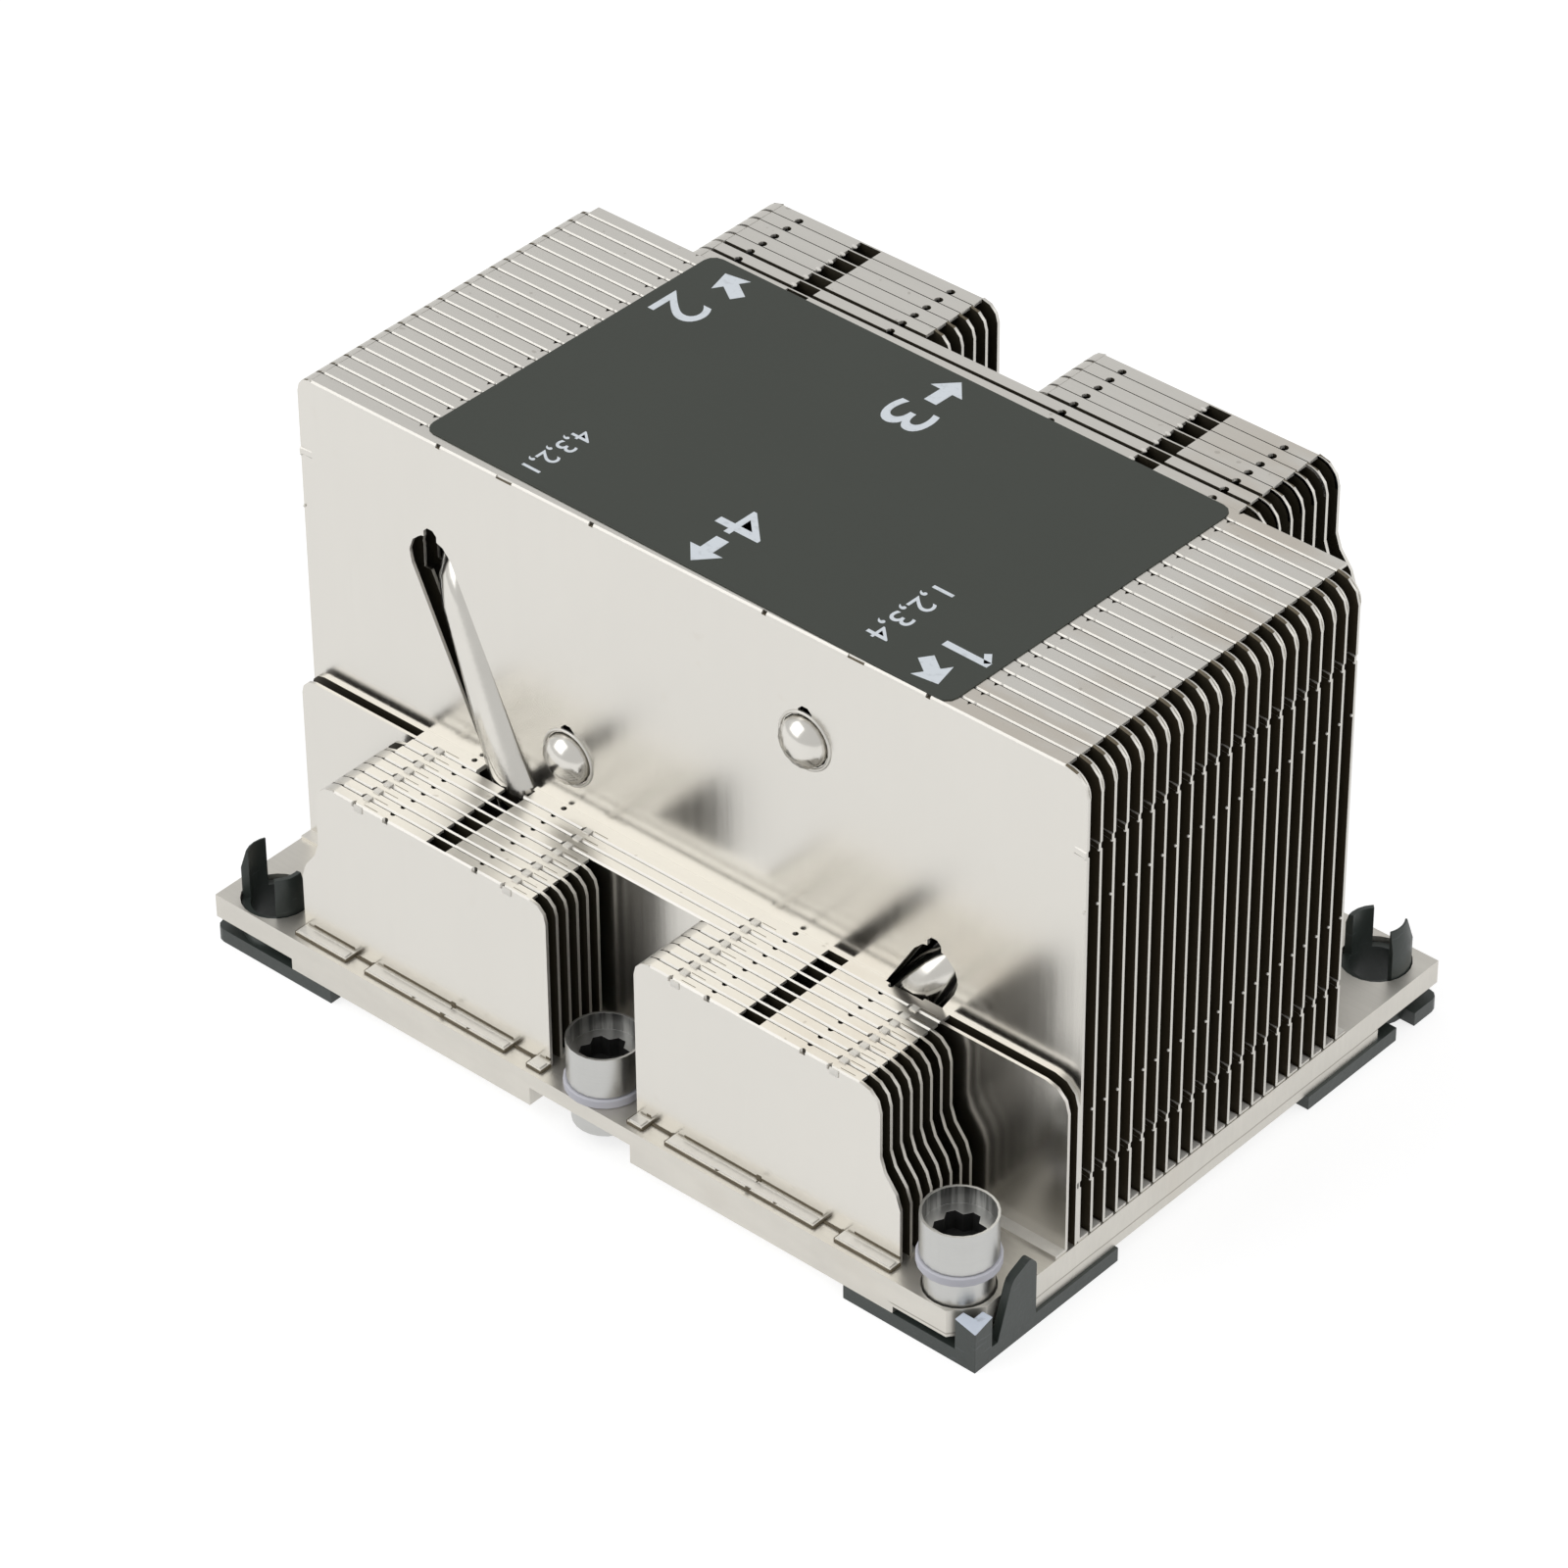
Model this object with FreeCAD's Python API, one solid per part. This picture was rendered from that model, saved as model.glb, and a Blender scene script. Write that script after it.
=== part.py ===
import FreeCAD, Part
import math
import os

from FreeCAD import Vector

# Passive heatsink for a large narrow server processor, two rack units high.
# Millimetres, +Z up. X runs along the fins (the air flow), Y across them.
# The origin is the middle of the footprint, at the underside of the carrier clip.

# ---- driving dimensions -------------------------------------------------------------------

# Nickel-plated copper base
base_length = 108.0
base_width = 78.0
base_thickness = 4.4
clip_thickness = 1.8            # the base lies on the clip's frame
contact_drop = 0.2              # contact face below the rest of the base's underside
contact_clearance = 0.5         # between the contact face's edge and the clip's window
corner_flange = 3.0             # plate thickness over the two clip-tube corners
nut_flange = 2.0                # plate thickness round the two middle nuts
nut_corner_flange = 3.5         # plate thickness round the two corner nuts
nut_corner_length = 10.6
nut_corner_width = 9.0
corner_flange_length = 11.5
corner_flange_width = 10.5
post_cut_x = 3.5                # base corner cut back for the clip's corner post
post_cut_y = 4.3
clip_play = 0.3                 # between the base and the upright parts of the clip
pocket_clearance = 3.0          # pocket wall beyond the nut's barrel

# Sheet metal
sheet = 0.4
solder_gap = 0.05               # round the pipes, filled with solder

# Core stack: full length and full height
core_height = 59.8
core_count = 22
core_front_margin = 16.76       # from the base's front edge to the first core fin
core_back_margin = 18.106       # from the last core fin to the base's rear edge
core_end_margin = 0.1           # fin ends stand this far inside the base ends
core_radius_right = 3.0
core_radius_left = 2.0
flange_gap = 0.3                # between one fin's flange and the next fin

# Front shelf: low fins in front of the core
shelf_height = 21.3
shelf_count = 10
shelf_front_margin = 2.302      # from the base's front edge to the foremost fin
shelf_short_count = 6           # these stop either side of the front nut
shelf_bridge_count = 2          # these run on behind the front nut
shelf_strip = 1.5               # turned-out bottom flange of the foremost fin
strip_gap_start = 2.0           # first gap in that flange, from the nut bay
strip_gap_end = 5.3
strip_foot_gap_start = 10.4     # second gap, from the foot's outer end
strip_foot_gap_end = 7.5
shelf_window_x = 22.0
shelf_window_length = 2.8       # opening in each top flange

# Rear blocks: full height fins behind the core, flanges folded towards the core
rear_gap = 0.05                 # between the last core flange and the first rear flange
rear_pitch = 1.99
rear_bridge_count = 2
rear_short_count = 5
rear_window_x = 24.1
rear_window_length = 3.0

# Outline of the short and bridging fins
block_end_margin = 14.3         # from the base's end to the block's end at the top
block_foot_step = 2.7           # the foot reaches this much further out
block_step_top = 9.5            # below the fin's top
block_step_bottom = 13.1
block_step_radius = 3.0
block_outer_radius = 2.8
nut_bay_half = 6.2              # half the gap left between two blocks
block_inner_radius = 2.2

# Heat pipes: the leg is the straight run through the fins
pipe_radius = 3.0
pipe_flat_thickness = 3.2       # where it is pressed flat in the base
pipe_flat_width = 7.6
pipe_foot_margin = 15.0         # foot of each riser from the base's long edge
pipe_top_margin = 20.5          # top of each riser from the base's long edge
pipe_leg_margin = 19.0          # far end of a leg that stays inside the fins
pipe_bend_foot = 7.0
pipe_bend_top = 6.5
pipe_taper = 5.0                # length over which the pipe is pressed flat
pipe_tip = 2.0                  # how far the two sealed tips stand out of the core's face
pipe_tip_radius = 1.9
pipe_side_count = 16
bend_chord_count = 4
vent_radius = 1.0               # small relief at the top of the holes in the foremost core fin
inner_hole_side_count = 4       # holes behind the foremost core fin
relief_side_count = 8
round_chord_count = 3           # chords in a rounded corner of a fin
# name, side of the riser (-1 front, 1 rear), foot X, leg X, leg height above the base
pipes = [
    ("heat_pipe_front_left", -1, -14.5, -35.1, 44.2),
    ("heat_pipe_rear_left", 1, -5.5, -16.0, 27.8),
    ("heat_pipe_rear_right", 1, 5.5, 17.2, 46.3),
    ("heat_pipe_front_right", -1, 19.0, 34.5, 25.5),
]

# Captive nuts: one at a corner and one in the middle of each long side
nut_end_margin = 5.3            # from the base's ends
nut_side_margin = 4.2           # from the base's long edges
nut_barrel_radius = 4.17
nut_shank_radius = 3.75
nut_barrel_height = 6.35
nut_shank_length = 4.3
nut_wall = 0.3
nut_recess = 2.2
nut_socket_depth = 2.4
nut_socket_radius = 2.75        # over the lobes
nut_socket_waist = 0.76         # between two lobes, as a share of that
nut_thread_radius = 1.9
nut_thread_depth = 5.4
nut_float = 3.25                # free lift of nut and ring
nut_hole_clearance = 0.2
ring_radius = 4.5
ring_height = 1.1
ring_clearance = 0.1            # between the ring and the nut
turned_side_count = 24

# Plastic carrier clip
clip_overhang = 0.4             # beyond each end of the base
clip_stud_hole_radius = 3.0     # lets the socket's studs through to the corner nuts
clip_window_end_margin = 16.0   # from the base's ends
clip_window_side_margin = 12.0  # from the base's long edges
clip_window_radius = 2.0
clip_corner_radius = 1.2
clip_post_corner_radius = 0.5
clip_side_recess = 3.0
clip_side_recess_half = 16.0
clip_front_recess = 7.5
clip_front_recess_margin = 17.3  # from the base's ends
clip_notch_start = 7.6          # from the base's long edge
clip_notch_end = 4.4
clip_notch_depth = 2.2
tube_outer_radius = 3.85
tube_inner_radius = 2.9
tube_clearance = 0.15
# direction of a prong's middle in degrees, half the angle it spans, height above the base
prongs = [
    (183.0, 30.0, 5.9),
    (-18.0, 28.0, 4.7),
]
prong_slope = 2.4               # height over which the taller prong's back slopes in
prong_taper = 0.7
tube_rim_drop = 0.6             # whole part of the tube ends below the top of the base
post_drop = 0.3                 # top of the corner post below the top of the base
post_side = 2.7
post_wall = 1.3
hook_height = 3.6               # above the base
hook_thickness = 1.0
hook_near = 9.7                 # the two edges of the hook, from the base's long edge
hook_far = 3.6
hook_slope_near = 1.0           # length of the slope on each side of the hook's point
hook_slope_far = 3.9
hook_slope_height = 1.2
hook_round = 0.5
hook_shoulder_round = 1.5

# Label on the top
label_end_margin = 17.7         # from the base's ends
label_side_margin = 0.15        # inside the core, on each side
label_shift = 0.55              # of the label's middle, towards +Y
label_thickness = 0.15
label_corner = 1.5
label_turn = -0.9               # degrees, as it was stuck on

# ---- sizes that follow --------------------------------------------------------------------

base_bottom = clip_thickness
base_top = base_bottom + base_thickness
core_top = base_top + core_height
shelf_top = base_top + shelf_height
half_length = base_length / 2
half_width = base_width / 2
fin_end = half_length - core_end_margin
core_front_y = core_front_margin - half_width
core_back_y = half_width - core_back_margin
core_pitch = (core_back_y - core_front_y) / (core_count - 1)
core_flange_reach = core_pitch - flange_gap
shelf_front_y = shelf_front_margin - half_width
shelf_pitch = (core_front_y - sheet - shelf_front_y) / (shelf_count - 1)
shelf_reach = shelf_pitch - flange_gap
rear_flange_reach = rear_pitch - flange_gap
rear_first_face = core_back_y + core_flange_reach + rear_gap + rear_flange_reach
block_half_length = half_length - block_end_margin
foot_half_length = block_half_length + block_foot_step
pipe_foot_offset = half_width - pipe_foot_margin
pipe_top_offset = half_width - pipe_top_margin
pipe_leg_reach = half_width - pipe_leg_margin
nut_x = half_length - nut_end_margin
nut_y = half_width - nut_side_margin
window_half_length = half_length - clip_window_end_margin
window_half_width = half_width - clip_window_side_margin
groove_bottom = base_top - pipe_flat_thickness
cut_reach = base_length + base_width

# ---- helpers ------------------------------------------------------------------------------


def block(x0, x1, y0, y1, z0, z1):
    """Box between two corners."""
    return Part.makeBox(x1 - x0, y1 - y0, z1 - z0, Vector(x0, y0, z0))


def upright(radius, x, y, z0, z1):
    """Cylinder along Z."""
    return Part.makeCylinder(radius, z1 - z0, Vector(x, y, z0))


def turned_points(radius, x, y, z):
    """Points of a turned section, drawn with flat sides."""
    points = []
    for step in range(turned_side_count):
        angle = 2 * math.pi * step / turned_side_count
        points.append(Vector(x + radius * math.cos(angle), y + radius * math.sin(angle), z))
    return points


def turned(radius, x, y, z0, z1):
    """Turned length along Z."""
    return Part.Face(closed(turned_points(radius, x, y, z0))).extrude(Vector(0, 0, z1 - z0))


def closed(points):
    """Closed wire through the points."""
    return Part.makePolygon(points + [points[0]])


def skinned(sections):
    """Solid through a row of sections with the same number of points each, by flat faces."""
    faces = [Part.Face(closed(sections[0])), Part.Face(closed(sections[-1]))]
    for here, following in zip(sections, sections[1:]):
        for i in range(len(here)):
            a, b = here[i - 1], here[i]
            c, d = following[i], following[i - 1]
            normal = (b - a).cross(d - a)
            if abs(normal.normalize().dot(c - a)) < 1e-6:
                faces.append(Part.Face(closed([a, b, c, d])))
            else:
                faces.append(Part.Face(closed([a, b, c])))
                faces.append(Part.Face(closed([a, c, d])))
    return Part.makeSolid(Part.makeShell(faces))


def fused(solids):
    """One solid out of several that touch."""
    first = solids[0]
    if len(solids) > 1:
        first = first.fuse(solids[1:])
    return first.removeSplitter()


def rounded_outline(points, radii):
    """Closed outline through the points, each corner rounded by its own radius in chords."""
    count = len(points)
    outline = []
    for i in range(count):
        here = points[i]
        radius = radii[i]
        if radius <= 0:
            outline.append(here)
            continue
        back = (points[i - 1] - here).normalize()
        ahead = (points[(i + 1) % count] - here).normalize()
        half_angle = back.getAngle(ahead) / 2
        bisector = (back + ahead).normalize()
        centre = here + bisector * (radius / math.sin(half_angle))
        across = (ahead - back).normalize()
        swing = math.pi / 2 - half_angle
        chords = max(1, round(round_chord_count * swing / (math.pi / 4)))
        for step in range(chords + 1):
            angle = swing * (2 * step / chords - 1)
            outline.append(centre - bisector * (radius * math.cos(angle)) + across * (radius * math.sin(angle)))
    return Part.makePolygon(outline + [outline[0]])


def plate_xy(corners, radii, z0, z1):
    """Flat plate with a rounded outline in plan."""
    wire = rounded_outline([Vector(x, y, z0) for x, y in corners], radii)
    return Part.Face(wire).extrude(Vector(0, 0, z1 - z0))


def web(corners, radii, y_front):
    """Upright sheet with a rounded outline in side view."""
    wire = rounded_outline([Vector(x, y_front, z) for x, z in corners], radii)
    return Part.Face(wire).extrude(Vector(0, sheet, 0))


def turned_plan(shape):
    """The same shape turned half round about Z."""
    turned = shape.copy()
    turned.rotate(Vector(0, 0, 0), Vector(0, 0, 1), 180)
    return turned


# ---- folded fins --------------------------------------------------------------------------


def fold(x0, x1, y_front, level, upper, side, reach):
    """Flange bent off a sheet's edge; the bend is one slanted face.

    upper is 1 at the top edge and -1 at the bottom edge; side is 1 towards +Y.
    """
    face = y_front if side > 0 else y_front + sheet
    inner = level - upper * sheet
    bend = sheet / 2
    section = [
        Vector(x0, face, inner),
        Vector(x0, face, level - upper * bend),
        Vector(x0, face + side * bend, level),
        Vector(x0, face + side * reach, level),
        Vector(x0, face + side * reach, inner),
    ]
    return Part.Face(Part.makePolygon(section + [section[0]])).extrude(Vector(x1 - x0, 0, 0))


def folded_fin(corners, radii, y_front, folds, windows=()):
    """Sheet with flanges; each fold is (x0, x1, level, upper, side, reach)."""
    sheet_body = web(corners, radii, y_front)
    flanges = []
    for x0, x1, level, upper, side, reach in folds:
        low = min(level, level - upper * sheet)
        strip = block(x0, x1, y_front, y_front + sheet, low, low + sheet)
        sheet_body = sheet_body.cut(strip)
        flanges.append(fold(x0, x1, y_front, level, upper, side, reach))
    fin = fused([sheet_body] + flanges)
    for x0, x1, level, reach in windows:
        opening = block(x0, x1, y_front + sheet, y_front + reach + sheet, level - 2 * sheet, level + sheet)
        fin = fin.cut(opening)
    return fin


def long_outline(top):
    """Outline of a fin as long as the base."""
    corners = [(-fin_end, base_top), (fin_end, base_top), (fin_end, top), (-fin_end, top)]
    radii = [0, 0, core_radius_right, core_radius_left]
    return corners, radii


def stepped_end(top):
    """Right-hand end of a block fin, from the foot up to the top corner."""
    points = [
        (foot_half_length, base_top),
        (foot_half_length, top - block_step_bottom),
        (block_half_length, top - block_step_top),
        (block_half_length, top),
    ]
    return points, [0, block_step_radius, block_step_radius, block_outer_radius]


def bridge_outline(top):
    """Outline of a fin that spans both blocks."""
    right, radii = stepped_end(top)
    left = [(-x, z) for x, z in reversed(right)]
    return right + left, radii + list(reversed(radii))


def short_outline(top, side):
    """Outline of a fin of one block; side is -1 for the left block, 1 for the right."""
    outer, radii = stepped_end(top)
    points = outer + [(nut_bay_half, top), (nut_bay_half, base_top)]
    radii = radii + [block_inner_radius, 0]
    return [(side * x, z) for x, z in points], radii


def span(side, inner, outer):
    """Interval between two distances from the middle, on one side."""
    return min(side * inner, side * outer), max(side * inner, side * outer)


def core_fin():
    """Full-length fin at the front position of the core."""
    corners, radii = long_outline(core_top)
    flange_left = -fin_end + core_radius_left
    flange_right = fin_end - core_radius_right
    folds = [
        (flange_left, flange_right, core_top, 1, 1, core_flange_reach),
        (-fin_end, fin_end, base_top, -1, 1, core_flange_reach),
    ]
    return folded_fin(corners, radii, core_front_y, folds)


def block_fin(top, reach, y_front, side, window_x, window_length, turned_out=0.0):
    """Fin of the shelf or of a rear block; side 0 bridges both blocks."""
    half_window = window_length / 2
    sides = [-1, 1] if side == 0 else [side]
    windows = []
    for each in sides:
        x0, x1 = span(each, window_x - half_window, window_x + half_window)
        windows.append((x0, x1, top, reach))
    flange_outer = block_half_length - block_outer_radius
    if side == 0:
        corners, radii = bridge_outline(top)
        folds = [
            (-flange_outer, flange_outer, top, 1, 1, reach),
            (-foot_half_length, foot_half_length, base_top, -1, 1, reach),
        ]
        return folded_fin(corners, radii, y_front, folds, windows)
    corners, radii = short_outline(top, side)
    x0, x1 = span(side, nut_bay_half + block_inner_radius, flange_outer)
    folds = [(x0, x1, top, 1, 1, reach)]
    if turned_out > 0:
        for inner, outer in [
            (nut_bay_half, nut_bay_half + strip_gap_start),
            (nut_bay_half + strip_gap_end, foot_half_length - strip_foot_gap_start),
            (foot_half_length - strip_foot_gap_end, foot_half_length),
        ]:
            x0, x1 = span(side, inner, outer)
            folds.append((x0, x1, base_top, -1, -1, turned_out + sheet))
    else:
        x0, x1 = span(side, nut_bay_half, foot_half_length)
        folds.append((x0, x1, base_top, -1, 1, reach))
    return folded_fin(corners, radii, y_front, folds, windows)


def long_shelf_fin(y_front, flanged):
    """Low fin as long as the base; the one against the core is a bare sheet."""
    corners, radii = long_outline(shelf_top)
    if not flanged:
        return web(corners, radii, y_front)
    reach = shelf_pitch
    flange_outer = block_half_length - block_outer_radius
    foot_end = foot_half_length + flange_gap
    folds = [
        (-flange_outer, flange_outer, shelf_top, 1, 1, reach),
        (-foot_half_length, foot_half_length, base_top, -1, 1, reach),
        (-fin_end, -foot_end, base_top, -1, -1, shelf_strip + sheet),
        (foot_end, fin_end, base_top, -1, -1, shelf_strip + sheet),
    ]
    half_window = shelf_window_length / 2
    windows = []
    for side in (-1, 1):
        x0, x1 = span(side, shelf_window_x - half_window, shelf_window_x + half_window)
        windows.append((x0, x1, shelf_top, reach))
    return folded_fin(corners, radii, y_front, folds, windows)


def rear_fin(number, side, zipped):
    """Full-height fin behind the core, flanges towards -Y; zipped joins it to the one before."""
    reach = rear_flange_reach
    if zipped:
        reach = rear_pitch + sheet / 2
    fin = block_fin(core_top, reach, 0, side, rear_window_x, rear_window_length)
    fin = fin.mirror(Vector(0, 0, 0), Vector(0, 1, 0))
    fin.translate(Vector(0, rear_first_face + number * rear_pitch, 0))
    return fin


# ---- heat pipes ---------------------------------------------------------------------------


def ring_of_points(sides, radius):
    """Points of a regular figure about the origin in X and Z, flat side on top."""
    points = []
    for step in range(sides):
        angle = 2 * math.pi * (step + 0.5) / sides
        points.append(Vector(radius * math.sin(angle), 0, radius * math.cos(angle)))
    return points


def pressed_points():
    """The pipe's section where it is pressed flat, about the same centre line."""
    points = []
    for point in ring_of_points(pipe_side_count, pipe_radius):
        half_round = pipe_flat_thickness / 2
        straight = pipe_flat_width / 2 - half_round
        x = math.copysign(straight, point.x) + point.x * half_round / pipe_radius
        z = point.z * half_round / pipe_radius + half_round - pipe_radius
        points.append(Vector(x, 0, z))
    return points


def pipe_corners(side, foot_x, leg_x, leg_height, far_end):
    """Corner points of the centre line: along the base, up the riser, through the fins."""
    low = groove_bottom + pipe_radius
    start = Vector(foot_x, side * (pipe_foot_offset - pipe_bend_foot - pipe_taper), low)
    foot = Vector(foot_x, side * pipe_foot_offset, low)
    head = Vector(leg_x, side * pipe_top_offset, base_top + leg_height)
    tip = Vector(leg_x, far_end, base_top + leg_height)
    return [start, foot, head, tip]


def heat_pipe(side, foot_x, leg_x, leg_height):
    """Heat pipe: pressed flat in the base, risen at one side, then straight through the fins."""
    if side < 0:
        far_end = pipe_leg_reach
    else:
        far_end = core_front_y - pipe_tip + pipe_tip_radius
    corners = pipe_corners(side, foot_x, leg_x, leg_height, far_end)
    bends = [pipe_bend_foot, pipe_bend_top]
    attitude = FreeCAD.Rotation()
    section = ring_of_points(pipe_side_count, pipe_radius)
    pressed = pressed_points()
    flat_start = Vector(foot_x, corners[0].y - side * pipe_taper, corners[0].z)
    flat_end = Vector(foot_x, -side * pipe_leg_reach, corners[0].z)
    sections = [
        [flat_end + point for point in pressed],
        [flat_start + point for point in pressed],
        [corners[0] + point for point in section],
    ]
    for i in (1, 2):
        direction = (corners[i] - corners[i - 1]).normalize()
        ahead = (corners[i + 1] - corners[i]).normalize()
        turn = direction.getAngle(ahead)
        bend_start = corners[i] - direction * (bends[i - 1] * math.tan(turn / 2))
        axis = direction.cross(ahead).normalize()
        spoke = axis.cross(direction) * (-bends[i - 1])
        centre = bend_start - spoke
        before = attitude
        for step in range(bend_chord_count + 1):
            swing = FreeCAD.Rotation(axis, math.degrees(turn) * step / bend_chord_count)
            attitude = swing.multiply(before)
            place = centre + swing.multVec(spoke)
            sections.append([place + attitude.multVec(point) for point in section])
    end = corners[3]
    sections.append([end + attitude.multVec(point) for point in section])
    if side > 0:
        for part in (0.5, 1.0):
            shrink = 1 - (1 - math.sqrt(1 - part * part)) * pipe_tip_radius / pipe_radius
            place = end - Vector(0, part * pipe_tip_radius, 0)
            sections.append([place + attitude.multVec(point) * shrink for point in section])
    return skinned(sections)


def leg_hole(leg_x, leg_z, sides):
    """Hole along Y that a leg passes through."""
    outer = (pipe_radius + solder_gap) / math.cos(math.pi / sides)
    middle = Vector(leg_x, -cut_reach / 2, leg_z)
    face = Part.Face(closed([middle + point for point in ring_of_points(sides, outer)]))
    return face.extrude(Vector(0, cut_reach, 0))


def relief(leg_x, leg_z):
    """Small notch at the top of a pipe hole."""
    place = Vector(leg_x, -cut_reach / 2, leg_z + pipe_radius + vent_radius / 4)
    face = Part.Face(closed([place + point for point in ring_of_points(relief_side_count, vent_radius)]))
    return face.extrude(Vector(0, cut_reach, 0))


def riser_slot(foot_x, head_x, head_z, y0, y1):
    """Slanted slot between two Y planes, from the base up to a half-round end about the head."""
    half = pipe_radius + solder_gap
    low = Vector(foot_x, y0, groove_bottom + pipe_radius)
    head = Vector(head_x, y0, head_z)
    up = (head - low).normalize()
    aside = Vector(up.z, 0, -up.x)
    chords = 2 * round_chord_count
    outer = half / math.cos(math.pi / chords / 2)
    outline = [low - up * half - aside * half, low - up * half + aside * half]
    for step in range(chords + 1):
        angle = math.pi * step / chords
        outline.append(head + aside * (outer * math.cos(angle)) + up * (outer * math.sin(angle)))
    return Part.Face(closed(outline)).extrude(Vector(0, y1 - y0, 0))


def pipe_rooms(y0, y1):
    """Slots and notches that the pipes' risers and feet need in what stands between two Y planes."""
    half = pipe_radius + solder_gap
    wide = pipe_flat_width / 2 + solder_gap
    low = groove_bottom + pipe_radius
    rooms = []
    for name, side, foot_x, leg_x, leg_height in pipes:
        near = min(side * y0, side * y1)
        far = max(side * y0, side * y1)
        if near > pipe_foot_offset + half:
            continue
        if far > pipe_foot_offset - pipe_bend_foot - 2 * pipe_taper:
            rooms.append(block(foot_x - wide, foot_x + wide, y0, y1, base_top - 1, low + half))
        if far > pipe_top_offset - pipe_bend_top:
            leg_z = base_top + leg_height
            lean = (pipe_foot_offset - pipe_top_offset) / (leg_z - low)
            leaves = low + (pipe_foot_offset + half - near) / lean - half
            head_z = min(leg_z, leaves)
            head_x = foot_x + (leg_x - foot_x) * (head_z - low) / (leg_z - low)
            rooms.append(riser_slot(foot_x, head_x, head_z, y0, y1))
    return rooms


def cleared(fin):
    """Fin with the room that the pipes' risers and feet need."""
    reach = fin.BoundBox
    rooms = pipe_rooms(reach.YMin - solder_gap, reach.YMax + solder_gap)
    if rooms:
        return fin.cut(rooms)
    return fin


# ---- base plate ---------------------------------------------------------------------------


def nut_places():
    """Name and place of the four captive nuts, in the order of tightening."""
    return [
        ("1", nut_x, -nut_y),
        ("2", -nut_x, nut_y),
        ("3", 0.0, nut_y),
        ("4", 0.0, -nut_y),
    ]


def base_plate():
    """Machined base with pipe grooves, nut pockets and the openings for the clip."""
    half_x = half_length
    half_y = half_width
    corners = [(-half_x, -half_y), (half_x, -half_y), (half_x, half_y), (-half_x, half_y)]
    plate = plate_xy(corners, [0] * 4, base_bottom, base_top)
    contact_x = window_half_length - contact_clearance
    contact_y = window_half_width - contact_clearance
    contact = plate_xy(
        [(-contact_x, -contact_y), (contact_x, -contact_y), (contact_x, contact_y), (-contact_x, contact_y)],
        [clip_window_radius] * 4, base_bottom - contact_drop, base_bottom
    )
    cut_corner = plate_xy(
        [
            (half_x - post_cut_x, -half_y), (half_x + post_cut_x, -half_y - 2 * post_cut_y),
            (half_x + post_cut_x, -half_y + 2 * post_cut_y), (half_x, -half_y + post_cut_y),
        ],
        [0] * 4, base_bottom - 1, base_top + 1
    )
    hook_inside = half_x + clip_overhang - hook_thickness - clip_play
    hook_notch = block(
        hook_inside, half_x + 1, hook_far - clip_play - half_y, hook_near + clip_play - half_y,
        base_bottom - 1, base_top + 1
    )
    tools = []
    for tool in (cut_corner, hook_notch):
        tools = tools + [tool, turned_plan(tool)]
    thin_corner = block(
        -half_x - 1, -half_x + corner_flange_length, -half_y - 1, -half_y + corner_flange_width,
        base_bottom - 1, base_top - corner_flange
    )
    nut_corner = block(
        half_x - nut_corner_length, half_x + 1, -half_y - 1, -half_y + nut_corner_width,
        base_bottom - 1, base_top - nut_corner_flange
    )
    for tool in (thin_corner, nut_corner):
        tools = tools + [tool, turned_plan(tool)]
    pocket_radius = nut_barrel_radius + pocket_clearance
    pocket_top = base_top - nut_flange
    for y in (-nut_y, nut_y):
        y0, y1 = span(1 if y > 0 else -1, nut_y, half_y + 1)
        tools.append(turned(pocket_radius, 0, y, base_bottom - 1, pocket_top))
        tools.append(block(-pocket_radius, pocket_radius, y0, y1, base_bottom - 1, pocket_top))
    hole_radius = nut_shank_radius + nut_hole_clearance
    for name, x, y in nut_places():
        tools.append(turned(hole_radius, x, y, base_bottom - 1, base_top + 1))
    for x, y in ((-nut_x, -nut_y), (nut_x, nut_y)):
        tools.append(turned(tube_outer_radius + tube_clearance, x, y, base_bottom - 1, base_top + 1))
    for name, side, foot_x, leg_x, leg_height in pipes:
        wide = pipe_flat_width / 2 + solder_gap
        inner_end = -side * (pipe_leg_reach + solder_gap)
        outer_end = side * (pipe_foot_offset + pipe_radius / 2)
        tools.append(block(
            foot_x - wide, foot_x + wide, min(inner_end, outer_end), max(inner_end, outer_end),
            groove_bottom, base_top + 1
        ))
    return fused([plate.cut(tools), contact])


# ---- captive nuts -------------------------------------------------------------------------


def lobed_socket(z0, z1):
    """Six-lobed driver socket along Z, as a solid to take away."""
    points = []
    for step in range(18):
        angle = math.radians(20 * step)
        radius = nut_socket_radius
        if step % 3 == 0:
            radius = nut_socket_radius * nut_socket_waist
        points.append(Vector(radius * math.cos(angle), radius * math.sin(angle), z0))
    return Part.Face(closed(points)).extrude(Vector(0, 0, z1 - z0))


def captive_nut():
    """Nut at the origin, its ring's seat at z = 0; the stud enters from below."""
    top = nut_barrel_height
    bottom = -nut_shank_length
    shoulder = ring_height + ring_clearance
    barrel = turned(nut_barrel_radius, 0, 0, shoulder, top)
    shank = turned(nut_shank_radius, 0, 0, bottom, shoulder)
    recess = turned(nut_barrel_radius - nut_wall, 0, 0, top - nut_recess, top + 1)
    socket = lobed_socket(top - nut_recess - nut_socket_depth, top - nut_recess + 0.5)
    thread = upright(nut_thread_radius, 0, 0, bottom - 1, bottom + nut_thread_depth)
    return barrel.fuse(shank).removeSplitter().cut([recess, socket, thread])


def retaining_ring():
    """Plastic ring round the nut's shank, under its barrel; it rests on the base."""
    ring = turned(ring_radius, 0, 0, 0, ring_height)
    return ring.cut(turned(nut_shank_radius + ring_clearance, 0, 0, -1, ring_height + 1))


# ---- carrier clip -------------------------------------------------------------------------


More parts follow.
